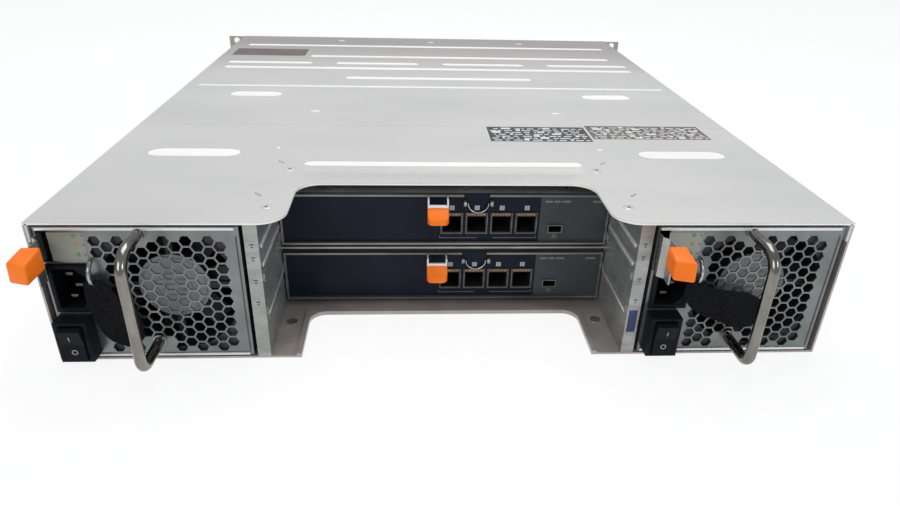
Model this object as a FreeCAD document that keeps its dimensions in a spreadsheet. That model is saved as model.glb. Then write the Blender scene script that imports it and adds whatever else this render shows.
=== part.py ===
import FreeCAD, Part
import Sketcher
import math
import os
import re

# Rack-mount disk shelf, two units high, seen as a parametric document.
# Frame: origin at the centre of the chassis footprint on its underside, X right, +Y towards the drive side,
# +Z up, millimetres. The rear face, with power supplies and I/O modules, lies at y = -body_depth / 2.

document = FreeCAD.newDocument("disk_shelf")
vector = FreeCAD.Vector

# ---------------------------------------------------------------- driving dimensions
DIMENSIONS = {
    # chassis
    "body_width": 446.0,
    "body_height": 86.8,
    "body_depth": 538.0,
    "sheet": 1.2,
    "clearance": 0.3,
    "seam_from_rear": 174.0,
    "seam_gap": 0.4,
    "skirt_height": 10.0,
    "skirt_setback": 14.0,
    "cover_notch_half": 89.5,
    "cover_notch_depth": 56.3,
    "notch_mouth_round": 15.0,
    "notch_inner_round": 14.0,
    "floor_notch_half": 86.0,
    "floor_notch_depth": 45.3,
    "floor_notch_round": 10.0,
    "hem_width": 3.0,
    "hem_height": 1.4,
    "press_depth": 0.7,
    "press_land": 1.0,
    "corner_share": 0.29,
    "panel_width": 16.5,
    "rib_width": 11.0,
    "short_rib_half": 44.0,
    "runner_width": 8.0,
    "runner_height": 1.1,
    # module bay
    "bay_wall_inner": 103.5,
    "bay_wall_outer": 111.0,
    "midplane_from_rear": 304.0,
    "board_thick": 2.4,
    "connector_depth": 12.0,
    "bead_proud": 0.7,
    "bead_height": 5.0,
    "bead_low": 27.5,
    "bead_high": 49.5,
    "ledge_width": 6.0,
    "vent_side": 12.0,
    # rack ears
    "ear_width": 482.6,
    "ear_height": 86.0,
    "ear_thick": 1.6,
    "ear_tab_length": 42.0,
    "rack_hole_across": 465.1,
    "rack_hole_apart": 76.2,
    "rack_hole_radius": 3.5,
    # power supplies
    "supply_centre": 165.75,
    "supply_width": 105.2,
    "supply_length": 291.7,
    "supply_wall": 0.8,
    "supply_face": 1.0,
    "hex_pitch": 6.8,
    "hex_web": 0.95,
    "grille_left": -26.4,
    "grille_right": 48.8,
    "grille_margin": 2.2,
    "grille_corner": 11.0,
    "foot_patch_half": 11.5,
    "foot_patch_height": 9.5,
    "handle_side": 0.6,
    "handle_radius": 3.0,
    "handle_reach": 28.5,
    "handle_top": 81.0,
    "handle_bottom": 12.8,
    "handle_bend": 12.0,
    "fan_side": 11.4,
    "fan_height": 44.3,
    "fan_radius": 37.0,
    "fan_depth": 25.0,
    "fan_hub_radius": 19.5,
    "fan_setback": 2.0,
    "hub_setback": 8.7,
    "fan_hub_thick": 3.4,
    "rotor_radius": 18.0,
    "rotor_length": 12.0,
    "blades": 7.0,
    "blade_thick": 1.6,
    "blade_tip": 34.5,
    "blade_rise": 5.5,
    "blade_run": 3.2,
    "blade_root": 1.5,
    "strut_width": 4.0,
    "inlet_left": -50.9,
    "inlet_width": 22.0,
    "inlet_low": 33.0,
    "inlet_height": 29.8,
    "inlet_depth": 24.0,
    "inlet_proud": 1.2,
    "socket_width": 16.6,
    "socket_height": 24.2,
    "socket_depth": 17.5,
    "socket_corner": 5.0,
    "blade_recess": 4.6,
    "pin_width": 2.0,
    "pin_length": 4.0,
    "pin_pitch": 14.0,
    "switch_left": -50.9,
    "switch_width": 18.0,
    "switch_low": 5.6,
    "switch_height": 25.6,
    "switch_proud": 9.5,
    "switch_depth": 14.0,
    "rocker_width": 12.6,
    "rocker_height": 20.0,
    "rocker_back": 5.0,
    "rocker_middle": 4.2,
    "rocker_end": 5.6,
    "rocker_tilt": 7.0,
    "slot_left": -52.1,
    "slot_width": 6.4,
    "slot_low": 63.9,
    "slot_height": 18.5,
    "leaf_thick": 0.8,
    "leaf_low": 56.5,
    "leaf_height": 24.0,
    "leaf_root": 20.0,
    "leaf_jog": 3.2,
    "tab_near": 14.5,
    "tab_far": 31.5,
    "tab_width": 9.6,
    "tab_low": 68.5,
    "tab_height": 12.0,
    "anchor_side": -26.4,
    "anchor_height": 58.0,
    "anchor_radius": 7.5,
    "anchor_wire": 0.9,
    "strap_gap": 0.4,
    "strap_thick": 3.2,
    # I/O modules
    "module_width": 205.0,
    "module_height": 34.0,
    "module_low": 5.6,
    "module_pitch": 40.0,
    "module_setback": 58.0,
    "module_face": 1.2,
    "module_wall": 1.0,
    "lip_proud": 2.4,
    "lip_break_left": 10.7,
    "lip_break_right": 26.7,
    "port_first": 3.6,
    "port_pitch": 15.7,
    "port_width": 14.0,
    "port_height": 14.4,
    "port_low": 6.9,
    "port_depth": 22.0,
    "port_wall": 1.2,
    "finger_height": 2.4,
    "usb_side": 69.5,
    "usb_middle": 10.2,
    "usb_width": 9.0,
    "usb_height": 5.0,
    "grip_side": -5.4,
    "grip_width": 13.0,
    "grip_rear": 16.0,
    "grip_front": 8.0,
    "grip_top": 32.2,
    "grip_low": 19.4,
    "bracket_wire": 1.4,
    "ring_side": 19.9,
    "ring_middle": 28.2,
    "ring_radius": 6.4,
    "ring_wire": 0.7,
    "ring_standoff": 1.5,
    # drives
    "cage_rear": 318.0,
    "cage_front": 529.0,
    "web": 0.8,
    "columns": 4.0,
    "rows": 3.0,
    "carrier_front": 530.0,
    "carrier_front_depth": 9.0,
    "carrier_rail_height": 14.0,
    "carrier_floor": 1.0,
    "vent_long": 40.0,
    "vent_short": 30.0,
    "vent_low": 9.0,
    "vent_high": 6.0,
    "drive_length": 147.0,
    "drive_width": 101.6,
    "lever_thick": 4.0,
    "lever_height": 17.0,
    "lever_margin": 3.5,
    "lever_pin_radius": 1.2,
    "lever_pin_play": 0.05,
    "lug_thick": 2.4,
    "lug_half": 3.0,
    "pin_stub": 2.0,
    "lever_pin_inset": 7.0,
}

sheet = document.addObject("Spreadsheet::Sheet", "dims")
for row, (alias, number) in enumerate(DIMENSIONS.items(), start=1):
    sheet.set("A%d" % row, alias)
    sheet.set("B%d" % row, repr(number))
    sheet.setAlias("B%d" % row, alias)
document.recompute()


def formula(text):
    """Turn plain words into spreadsheet references: 'sheet * 2' becomes 'dims.sheet * 2'."""
    return re.sub(r"[a-z]+(?:_[a-z]+)*", lambda word: "dims." + word.group(0), str(text))


def value(text):
    """The number that a formula has now."""
    result = sheet.evalExpression(formula(text))
    return float(getattr(result, "Value", result))


def has_words(text):
    return re.search("[a-z]", str(text)) is not None


# ---------------------------------------------------------------- places used by many pieces
REAR = "-body_depth / 2"
INNER_HALF = "(body_width / 2 - sheet)"
COVER_UNDER = "(body_height - sheet)"
SUPPLY_LOW = "(sheet + runner_height + clearance)"
SUPPLY_HIGH = "(body_height - sheet - press_depth - clearance)"
CAGE_HIGH = "(body_height - sheet - press_depth)"
ROW_STEP = "((body_height - 2 * sheet - press_depth) / rows)"
SKIRT_INNER = "(body_width / 2 - 2 * sheet)"


def from_rear(distance):
    """A y position, given as a distance in front of the rear face."""
    return "(%s + %s)" % (REAR, distance)


# Pressings in the two covers: from x, to x, distance of the near edge from the rear face, width.
REAR_PRESSINGS = [
    ("-199", "-155", "103", "panel_width"),
    ("140", "209", "103", "panel_width"),
    ("-91.5", "92", "85", "rib_width"),
]
FRONT_PRESSINGS = [
    ("-178", "-132", "256", "panel_width"),
    ("130", "175", "256", "panel_width"),
    ("-84", "97", "322", "rib_width"),
    ("-208", "208", "363", "rib_width"),
    ("-130", "199", "420", "rib_width"),
    ("-208", "208", "479", "rib_width"),
]


# ---------------------------------------------------------------- modelling helpers
NORMAL_SIGN = {"XY_Plane": 1, "XZ_Plane": -1, "YZ_Plane": 1}


def new_body(label):
    body = document.addObject("PartDesign::Body", label)
    body.Label = label
    return body


def rectangle(x_low, y_low, x_high, y_high):
    return [(x_low, y_low), (x_high, y_low), (x_high, y_high), (x_low, y_high)]


def circle(x_middle, y_middle, radius):
    return ("circle", x_middle, y_middle, radius)


def bevelled(x_low, y_low, x_high, y_high):
    """A long rectangle with its four corners cut off, as pressings and lever ends have."""
    cut = "(((%s) - (%s)) * corner_share)" % (y_high, y_low)
    left = "(%s) + %s" % (x_low, cut)
    right = "(%s) - %s" % (x_high, cut)
    lower = "(%s) + %s" % (y_low, cut)
    upper = "(%s) - %s" % (y_high, cut)
    return [(left, y_low), (right, y_low), (x_high, lower), (x_high, upper),
            (right, y_high), (left, y_high), (x_low, upper), (x_low, lower)]


def arc_corners(across, up, radius, start_turn, sweep, chords):
    """Points along an arc, one more than it has chords; turns in degrees."""
    corners = []
    for step in range(chords + 1):
        turn = math.radians(start_turn + sweep * step / chords)
        corners.append(("%s + (%s) * (%.6f)" % (across, radius, math.cos(turn)),
                        "%s + (%s) * (%.6f)" % (up, radius, math.sin(turn))))
    return corners


def many_sided(across, up, radius, sides, around=False):
    """A regular outline with its corners on the circle, or with its sides touching it from around."""
    grow = 1 / math.cos(math.pi / sides) if around else 1.0
    size = "(%s) * %.6f" % (radius, grow)
    return arc_corners(across, up, size, 180.0 / sides, 360.0, sides)[:-1]


def half_hoop(across, up, radius, wire, start_turn, chords):
    """Half a ring of square wire, as one outline: out along its outer edge and back along the inner one."""
    outer = arc_corners(across, up, "%s + %s" % (radius, wire), start_turn, 180.0, chords)
    inner = arc_corners(across, up, "%s - %s" % (radius, wire), start_turn, 180.0, chords)
    return outer + inner[::-1]


def hold(sketch, kind, geometry, point, text):
    """Fix one coordinate of a point, bound to its formula."""
    index = sketch.addConstraint(Sketcher.Constraint(kind, -1, 1, geometry, point, value(text)))
    if has_words(text):
        sketch.setExpression("Constraints[%d]" % index, formula(text))


def draw_polygon(sketch, corners):
    first = sketch.GeometryCount
    places = [vector(value(x), value(y), 0) for x, y in corners]
    count = len(places)
    for index in range(count):
        sketch.addGeometry(Part.LineSegment(places[index], places[(index + 1) % count]))
    for index in range(count):
        following = first + (index + 1) % count
        sketch.addConstraint(Sketcher.Constraint("Coincident", first + index, 2, following, 1))
    for index, (x, y) in enumerate(corners):
        hold(sketch, "DistanceX", first + index, 1, x)
        hold(sketch, "DistanceY", first + index, 1, y)


def draw_circle(sketch, x_middle, y_middle, radius):
    middle = vector(value(x_middle), value(y_middle), 0)
    index = sketch.addGeometry(Part.Circle(middle, vector(0, 0, 1), value(radius)))
    hold(sketch, "DistanceX", index, 3, x_middle)
    hold(sketch, "DistanceY", index, 3, y_middle)
    round_size = sketch.addConstraint(Sketcher.Constraint("Radius", index, value(radius)))
    if has_words(radius):
        sketch.setExpression("Constraints[%d]" % round_size, formula(radius))


def new_sketch(body, name, plane, start, outlines):
    """A sketch on one of the body's origin planes, moved to 'start' along the world axis across that plane."""
    sketch = body.newObject("Sketcher::SketchObject", name)
    support = [feature for feature in body.Origin.OriginFeatures if feature.Role == plane][0]
    sketch.AttachmentSupport = [(support, "")]
    sketch.MapMode = "FlatFace"
    sign = "" if NORMAL_SIGN[plane] > 0 else "-"
    sketch.setExpression("AttachmentOffset.Base.z", "%s(%s)" % (sign, formula(start)))
    for outline in outlines:
        if outline[0] == "circle":
            draw_circle(sketch, *outline[1:])
        else:
            draw_polygon(sketch, outline)
    return sketch


def pad(body, name, plane, start, length, *outlines):
    """Add material from 'start' onwards in the positive direction of the axis across the plane."""
    feature = body.newObject("PartDesign::Pad", name)
    feature.Profile = new_sketch(body, name + "_outline", plane, start, outlines)
    feature.Reversed = NORMAL_SIGN[plane] < 0
    feature.setExpression("Length", formula(length))
    feature.Refine = True
    return feature


def pocket(body, name, plane, start, length, *outlines):
    """Remove material from 'start' onwards in the positive direction of the axis across the plane."""
    document.recompute()
    before = body.Shape.Volume
    feature = body.newObject("PartDesign::Pocket", name)
    feature.Profile = new_sketch(body, name + "_outline", plane, start, outlines)
    feature.Reversed = NORMAL_SIGN[plane] > 0
    feature.setExpression("Length", formula(length))
    feature.Refine = True
    document.recompute()
    if not body.Shape.Volume < before:
        raise ValueError("%s removed nothing" % name)
    return feature


def edge_names(shape, test):
    return ["Edge%d" % number for number, edge in enumerate(shape.Edges, start=1) if test(edge)]


def upright_at(x, y):
    """Test for an edge that runs along Z through a given x, y place."""
    def test(edge):
        ends = [vertex.Point for vertex in edge.Vertexes]
        if len(ends) != 2 or abs(ends[0].z - ends[1].z) < 0.1:
            return False
        return all(abs(end.x - x) < 0.05 and abs(end.y - y) < 0.05 for end in ends)
    return test


def round_uprights(body, name, radius, places):
    """Fillet the edges along Z at the given x, y places."""
    document.recompute()
    base = body.Tip
    spots = [(value(x), value(y)) for x, y in places]
    names = []
    for x, y in spots:
        names += edge_names(base.Shape, upright_at(x, y))
    feature = body.newObject("PartDesign::Fillet", name)
    feature.Base = (base, names)
    feature.setExpression("Radius", formula(radius))
    return feature


def mirrored_pair(label, body):
    """One named sub-part made of a body and its mirror image across the middle of the shelf."""
    twin = document.addObject("Part::Mirroring", label + "_twin")
    twin.Source = body
    twin.Normal = vector(1, 0, 0)
    pair = document.addObject("Part::Compound", label)
    pair.Links = [body, twin]
    pair.Label = label
    return pair


sub_parts = []


def keep(item):
    sub_parts.append(item)
    return item


# ---------------------------------------------------------------- chassis
def notched_outline(rear, front, half_width, notch_half, notch_depth):
    """A sheet outline with a square-cornered bite taken out of the middle of its rear edge."""
    inner = from_rear(notch_depth)
    return [
        ("-" + half_width, rear),
        ("-" + notch_half, rear),
        ("-" + notch_half, inner),
        (notch_half, inner),
        (notch_half, rear),
        (half_width, rear),
        (half_width, front),
        ("-" + half_width, front),
    ]


def chassis_pan():
    """Floor with its cut-back rear edge, hemmed, the two side walls and the runners under the supplies."""
    body = new_body("chassis_pan")
    half = "(body_width / 2)"
    floor = notched_outline(REAR, "body_depth / 2", half, "floor_notch_half", "floor_notch_depth")
    pad(body, "floor", "XY_Plane", "0", "sheet", floor)
    inner = from_rear("floor_notch_depth")
    hem_half = "(floor_notch_half + hem_width)"
    hem_inner = "(%s + hem_width)" % inner
    hem = [
        ("-" + hem_half, REAR), ("-floor_notch_half", REAR), ("-floor_notch_half", inner),
        ("floor_notch_half", inner), ("floor_notch_half", REAR), (hem_half, REAR),
        (hem_half, hem_inner), ("-" + hem_half, hem_inner),
    ]
    pad(body, "hem", "XY_Plane", "sheet", "hem_height", hem)
    round_uprights(body, "notch_rounds", "floor_notch_round",
                   [("-floor_notch_half", inner), ("floor_notch_half", inner)])
    walls = []
    for side in ("-", ""):
        outer = "%sbody_width / 2" % side
        inside = "%s%s" % (side, INNER_HALF)
        walls.append(rectangle(outer, REAR, inside, "body_depth / 2"))
    pad(body, "side_walls", "XY_Plane", "sheet", "body_height - 2 * sheet", *walls)
    runners = []
    for side in ("-", ""):
        for step in ("-", ""):
            middle = "%ssupply_centre %s supply_width / 3" % (side, step or "+")
            runners.append(rectangle("%s - runner_width / 2" % middle, from_rear("8"),
                                     "%s + runner_width / 2" % middle, from_rear("supply_length")))
    pad(body, "runners", "XY_Plane", "sheet", "runner_height", *runners)
    return keep(body)


def press_shapes(body, name, shapes):
    """Press shapes down into a cover: a land below the sheet and the matching hollow above it."""
    lands = []
    hollows = []
    for x_low, x_high, near, width in shapes:
        far = from_rear("%s + %s" % (near, width))
        near = from_rear(near)
        lands.append(bevelled("(%s) - press_land" % x_low, near + " - press_land",
                              "(%s) + press_land" % x_high, far + " + press_land"))
        hollows.append(bevelled(x_low, near, x_high, far))
    pad(body, name + "_lands", "XY_Plane", "body_height - sheet - press_depth", "press_depth", *lands)
    pocket(body, name + "_hollows", "XY_Plane", "body_height - press_depth", "press_depth", *hollows)


def cover_skirts(body, rear, front):
    """Flanges folded down inside the side walls."""
    skirts = []
    for side in ("-", ""):
        outer = "%s%s" % (side, INNER_HALF)
        inner = "%s%s" % (side, SKIRT_INNER)
        skirts.append(rectangle(outer, rear, inner, front))
    pad(body, "skirts", "XY_Plane", "body_height - sheet - skirt_height", "skirt_height", *skirts)


def rear_cover():
    """Rear half of the lid, bitten out over the module bay."""
    body = new_body("rear_cover")
    front = from_rear("seam_from_rear")
    outline = notched_outline(REAR, front, "(body_width / 2)", "cover_notch_half", "cover_notch_depth")
    pad(body, "top", "XY_Plane", "body_height - sheet", "sheet", outline)
    inner = from_rear("cover_notch_depth")
    round_uprights(body, "notch_inner_rounds", "notch_inner_round",
                   [("-cover_notch_half", inner), ("cover_notch_half", inner)])
    round_uprights(body, "notch_mouth_rounds", "notch_mouth_round",
                   [("-cover_notch_half", REAR), ("cover_notch_half", REAR)])
    cover_skirts(body, from_rear("2 * skirt_setback"), front)
    press_shapes(body, "pressings", REAR_PRESSINGS)
    return keep(body)


def front_cover():
    """Front half of the lid with stiffening ribs pressed in, four of them over the four drive columns."""
    body = new_body("front_cover")
    rear = from_rear("(seam_from_rear + seam_gap)")
    front = "(body_depth / 2)"
    pad(body, "top", "XY_Plane", "body_height - sheet", "sheet",
        rectangle("-body_width / 2", rear, "body_width / 2", front))
    cover_skirts(body, rear, front + " - skirt_setback")
    ribs = list(FRONT_PRESSINGS)
    for column in range(4):
        middle = column_middle(column)
        ribs.append((middle + " - short_rib_half", middle + " + short_rib_half", "386", "rib_width"))
    press_shapes(body, "ribs", ribs)
    return keep(body)


def bay_walls():
    """U channels that part the module bay from the supplies, with guide beads and module ledges."""
    body = new_body("bay_wall")
    wall_front = from_rear("(midplane_from_rear)")
    channel = [
        ("bay_wall_inner", REAR), ("bay_wall_outer", REAR), ("bay_wall_outer", wall_front),
        ("bay_wall_outer - sheet", wall_front), ("bay_wall_outer - sheet", from_rear("sheet")),
        ("bay_wall_inner + sheet", from_rear("sheet")), ("bay_wall_inner + sheet", wall_front),
        ("bay_wall_inner", wall_front),
    ]
    pad(body, "channel", "XY_Plane", "sheet", "body_height - 2 * sheet", channel)
    beads = [rectangle("bay_wall_inner - bead_proud", low, "bay_wall_inner", "%s + bead_height" % low)
             for low in ("bead_low", "bead_high")]
    bead_front = "module_setback - 4"
    pad(body, "beads", "XZ_Plane", from_rear("3"), bead_front, *beads)
    ledges = []
    for level in ("module_low", "module_low + module_pitch"):
        under = "%s - clearance" % level
        ledges.append(rectangle("bay_wall_inner - ledge_width", "%s - sheet" % under, "bay_wall_inner", under))
    pad(body, "ledges", "XZ_Plane", from_rear("(module_setback + 12)"),
        "midplane_from_rear - module_setback - 12 - connector_depth", *ledges)
    return keep(mirrored_pair("bay_walls", body))


def module_shelf():
    """Flat shelf between the two module slots, with a folded rear lip."""
    body = new_body("module_shelf")
    level = "(module_low + module_pitch - module_height / 10)"
    rear = from_rear("module_setback")
    front = from_rear("(midplane_from_rear - connector_depth)")
    pad(body, "plate", "XY_Plane", level + " - sheet / 2", "sheet",
        rectangle("-bay_wall_inner", rear, "bay_wall_inner", front))
    windows = []
    for step in range(-3, 4):
        middle = "(%d * module_width / 8)" % step
        windows.append(rectangle(middle + " - vent_side", from_rear("150"), middle + " + vent_side", from_rear("160")))
    pocket(body, "windows", "XY_Plane", level + " - sheet", "2 * sheet", *windows)
    return keep(body)


def midplane():
    """Upright board across the chassis: drive connectors in front, module and supply connectors behind."""
    body = new_body("midplane")
    board_rear = from_rear("midplane_from_rear")
    pad(body, "board", "XZ_Plane", board_rear, "board_thick",
        rectangle("-" + SKIRT_INNER, "sheet", SKIRT_INNER, COVER_UNDER))
    drive_plugs = []
    slots = []
    for column in range(4):
        middle = column_middle(column)
        for level in range(3):
            low = row_low(level)
            drive_plugs.append(rectangle(middle + " - 21", low + " + 4", middle + " + 21", low + " + 10"))
            slots.append(rectangle(middle + " - 40", low + " + 13", middle + " + 40", low + " + 23"))
    pad(body, "drive_plugs", "XZ_Plane", board_rear + " + board_thick", "cage_rear - midplane_from_rear - board_thick",
        *drive_plugs)
    rear_plugs = []
    for side in ("-", ""):
        middle = "%ssupply_centre" % side
        rear_plugs.append(rectangle(middle + " - 30", "6", middle + " + 30", "20"))
    for level in ("module_low", "module_low + module_pitch"):
        rear_plugs.append(rectangle("-45", level + " + 4", "45", level + " + 12"))
    pad(body, "rear_plugs", "XZ_Plane", board_rear + " - connector_depth", "connector_depth", *rear_plugs)
    pocket(body, "air_slots", "XZ_Plane", board_rear + " - 1", "board_thick + 2", *slots)
    return keep(body)


def column_middle(column):
    """Middle of a drive column across the cage."""
    return "(2 * %s / columns * (%s))" % (SKIRT_INNER, column - 1.5)


def row_low(level):
    """Underside of a drive cell, where its web starts."""
    return "(sheet + %s * %d)" % (ROW_STEP, level)


def drive_cage():
    """Lattice of thin webs that forms twelve cells, four across and three high."""
    body = new_body("drive_cage")
    half_web = "web / 2"
    cell_width = "(2 * %s / columns)" % SKIRT_INNER
    cells = [rectangle("-" + SKIRT_INNER, "sheet", SKIRT_INNER, CAGE_HIGH)]
    for column in range(4):
        for level in range(3):
            middle = column_middle(column)
            low = row_low(level)
            cells.append(rectangle("%s - %s / 2 + %s" % (middle, cell_width, half_web), "%s + %s" % (low, half_web),
                                   "%s + %s / 2 - %s" % (middle, cell_width, half_web),
                                   "%s + %s - %s" % (low, ROW_STEP, half_web)))
    pad(body, "lattice", "XZ_Plane", from_rear("cage_rear"), "cage_front - cage_rear", *cells)
    return keep(body)


def rack_ears():
    """Ears with two rack holes each, folded from a tab that lies along the side wall."""
    body = new_body("rack_ear")
    front = "(body_depth / 2)"
    low = "(body_height - ear_height) / 2"
    pad(body, "flange", "XZ_Plane", front + " - ear_thick", "ear_thick",
        rectangle("body_width / 2", low, "ear_width / 2", low + " + ear_height"))
    pad(body, "tab", "XZ_Plane", front + " - ear_tab_length", "ear_tab_length",
        rectangle("body_width / 2", low + " + 6", "body_width / 2 + ear_thick", low + " + ear_height - 6"))
    middle = "body_height / 2"
    holes = [circle("rack_hole_across / 2", "%s %s rack_hole_apart / 2" % (middle, side), "rack_hole_radius")
             for side in ("-", "+")]
    pocket(body, "rack_holes", "XZ_Plane", front + " - 2 * ear_thick", "3 * ear_thick", *holes)
    return keep(mirrored_pair("rack_ears", body))


# ---------------------------------------------------------------- power supplies
def hexagon(x_middle, z_middle, radius):
    """A flat-topped hexagon as six points."""
    points = []
    for corner in range(6):
        turn = math.radians(60 * corner)
        points.append(vector(x_middle + radius * math.cos(turn), z_middle + radius * math.sin(turn), 0))
    return points


def grille_holes(centre):
    """The honeycomb field: every hexagon that keeps clear of the inlet, switch, lamp plate and handle feet."""
    pitch = value("hex_pitch")
    radius = (pitch - value("hex_web")) / math.sqrt(3)
    column_step = pitch * math.sqrt(3) / 2
    left = value("grille_left")
    right = value("grille_right")
    low = value(SUPPLY_LOW) + value("grille_margin")
    high = value(SUPPLY_HIGH) - value("grille_margin")
    corner = value("grille_corner")
    patch_half = value("foot_patch_half")
    patch_height = value("foot_patch_height")
    handle = value("handle_side")
    inlet_edge = value("inlet_left + inlet_width") + 3.0
    anchor_low = value("anchor_height - anchor_radius - 2 * anchor_wire")
    anchor_high = value("anchor_height + anchor_radius + 2 * anchor_wire")
    holes = []
    column = 0
    x = left + radius
    while x + radius <= right:
        z = low + pitch / 2 + (column % 2) * pitch / 2
        while z + pitch / 2 <= high:
            near_foot = abs(x - handle) < patch_half and (z < low + patch_height or z > high - patch_height)
            off_corner = (right - x) + min(z - low, high - z) < corner
            at_anchor = x - radius < value("anchor_side") + 2.5 and anchor_low < z < anchor_high
            if not near_foot and not off_corner and not at_anchor and x - radius > inlet_edge - 6.0:
                holes.append(hexagon(value(centre) + x, z, radius))
            z += pitch
        x += column_step
        column += 1
    return holes


def supply_case(side, centre):
    """Folded case: four walls, fan ring with its spider, a wire strap anchor and the honeycomb rear wall."""
    body = new_body("supply_%s_case" % side)
    left = "(%s - supply_width / 2)" % centre
    right = "(%s + supply_width / 2)" % centre
    pad(body, "walls", "XZ_Plane", from_rear("supply_face"), "supply_length - supply_face",
        rectangle(left, SUPPLY_LOW, right, SUPPLY_HIGH),
        rectangle(left + " + supply_wall", SUPPLY_LOW + " + supply_wall", right + " - supply_wall",
                  SUPPLY_HIGH + " - supply_wall"))
    fan_x = centre + " + fan_side"
    pad(body, "fan_ring", "XZ_Plane", from_rear("fan_setback"), "fan_depth",
        rectangle(fan_x + " - fan_radius - 3", SUPPLY_LOW + " + supply_wall", right + " - supply_wall",
                  SUPPLY_HIGH + " - supply_wall"),
        many_sided(fan_x, "fan_height", "fan_radius + clearance", 20, around=True))
    pad(body, "fan_spider", "XZ_Plane", from_rear("hub_setback"), "fan_hub_thick / 2",
        cross_outline(fan_x, "fan_height", "(fan_radius + 1)", "strut_width / 2"))
    pad(body, "fan_hub", "XZ_Plane", from_rear("hub_setback"), "fan_hub_thick",
        many_sided(fan_x, "fan_height", "fan_hub_radius", 20))
    pad(body, "strap_anchor", "YZ_Plane", centre + " + anchor_side - anchor_wire", "2 * anchor_wire",
        half_hoop(REAR + " + supply_face / 2", "anchor_height", "anchor_radius", "anchor_wire", 90, 6))
    outline = new_sketch(body, "face_outline", "XZ_Plane", REAR, [
        rectangle(left, SUPPLY_LOW, right, SUPPLY_HIGH),
        rectangle(centre + " + inlet_left", "inlet_low", centre + " + inlet_left + inlet_width",
                  "inlet_low + inlet_height"),
        rectangle(centre + " + switch_left", "switch_low", centre + " + switch_left + switch_width",
                  "switch_low + switch_height"),
        rectangle(centre + " + slot_left", "slot_low", centre + " + slot_left + slot_width",
                  "slot_low + slot_height"),
    ])
    for hole in grille_holes(centre):
        outline.addGeometry([Part.LineSegment(hole[corner], hole[(corner + 1) % 6]) for corner in range(6)])
    face = body.newObject("PartDesign::Pad", "face")
    face.Profile = outline
    face.Reversed = True
    face.setExpression("Length", formula("supply_face"))
    face.Refine = False
    return keep(body)


def cross_outline(x, z, arm, half_width):
    """A plus sign of four straight arms."""
    outline = []
    steps = [(1, 1, "wide"), (1, 1, "tall"), (-1, 1, "tall"), (-1, 1, "wide"),
             (-1, -1, "wide"), (-1, -1, "tall"), (1, -1, "tall"), (1, -1, "wide")]
    order = []
    for sign_x, sign_z, kind in steps:
        if kind == "wide":
            order.append((sign_x, arm, sign_z, half_width))
        else:
            order.append((sign_x, half_width, sign_z, arm))
        inner = (sign_x, half_width, sign_z, half_width)
        if len(order) % 3 == 1:
            order.append(inner)
    for sign_x, size_x, sign_z, size_z in order:
        outline.append(("%s %s %s" % (x, "+" if sign_x > 0 else "-", size_x),
                        "%s %s %s" % (z, "+" if sign_z > 0 else "-", size_z)))
    return outline


def place_body(item, rotation, x, y, z):
    """Give an object its Placement, with the three coordinates bound to the sheet."""
    item.Placement = FreeCAD.Placement(vector(value(x), value(y), value(z)), rotation)
    for letter, place in (("x", x), ("y", y), ("z", z)):
        item.setExpression("Placement.Base." + letter, formula(place))


def fan_rotor(side, centre):
    """Hub with seven blades, each a flat vane slanted across the air's way."""
    body = new_body("supply_%s_fan_rotor" % side)
    pad(body, "hub", "XZ_Plane", "0", "rotor_length", many_sided("0", "0", "rotor_radius", 14))
    middle = "rotor_length / 2"
    rear = "%s - blade_run" % middle
    front = "%s + blade_run" % middle
    vane = [
        (rear + " - blade_thick / 2", "-blade_rise"), (rear + " + blade_thick / 2", "-blade_rise"),
        (front + " + blade_thick / 2", "blade_rise"), (front + " - blade_thick / 2", "blade_rise"),
    ]
    root = "(rotor_radius - blade_root)"
    blade = pad(body, "blade", "YZ_Plane", root, "blade_tip - " + root, vane)
    document.recompute()
    ring = body.newObject("PartDesign::PolarPattern", "blades")
    ring.Originals = [blade]
    axis = [feature for feature in body.Origin.OriginFeatures if feature.Role == "Y_Axis"][0]
    ring.Axis = (axis, [""])
    ring.Angle = 360
    ring.Occurrences = int(value("blades"))
    body.Tip = ring
    place_body(body, FreeCAD.Rotation(), centre + " + fan_side",
               from_rear("hub_setback") + " + fan_hub_thick + clearance", "fan_height")
    return keep(body)


def power_inlet(side, centre):
    """Three-blade mains inlet turned on its side, with the two bevelled corners of its socket."""
    body = new_body("supply_%s_inlet" % side)
    left = centre + " + inlet_left"
    mouth = REAR + " - inlet_proud"
    pad(body, "block", "XZ_Plane", mouth, "inlet_proud + inlet_depth",
        rectangle(left, "inlet_low", left + " + inlet_width", "inlet_low + inlet_height"))
    middle_x = left + " + inlet_width / 2"
    middle_z = "inlet_low + inlet_height / 2"
    half_width = "socket_width / 2"
    half_height = "socket_height / 2"
    socket = [
        ("%s - %s" % (middle_x, half_width), "%s - %s" % (middle_z, half_height)),
        ("%s + %s - socket_corner" % (middle_x, half_width), "%s - %s" % (middle_z, half_height)),
        ("%s + %s" % (middle_x, half_width), "%s - %s + socket_corner" % (middle_z, half_height)),
        ("%s + %s" % (middle_x, half_width), "%s + %s - socket_corner" % (middle_z, half_height)),
        ("%s + %s - socket_corner" % (middle_x, half_width), "%s + %s" % (middle_z, half_height)),
        ("%s - %s" % (middle_x, half_width), "%s + %s" % (middle_z, half_height)),
    ]
    pocket(body, "socket", "XZ_Plane", mouth, "socket_depth", socket)
    blades = []
    for across, up in ((2, "0"), (-2, "pin_pitch / 2"), (-2, "-pin_pitch / 2")):
        x = "%s + %d" % (middle_x, across)
        z = "%s + %s" % (middle_z, up)
        blades.append(rectangle(x + " - pin_length / 2", z + " - pin_width / 2",
                                x + " + pin_length / 2", z + " + pin_width / 2"))
    pad(body, "blades", "XZ_Plane", mouth + " + blade_recess", "socket_depth - blade_recess", *blades)
    return keep(body)


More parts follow.
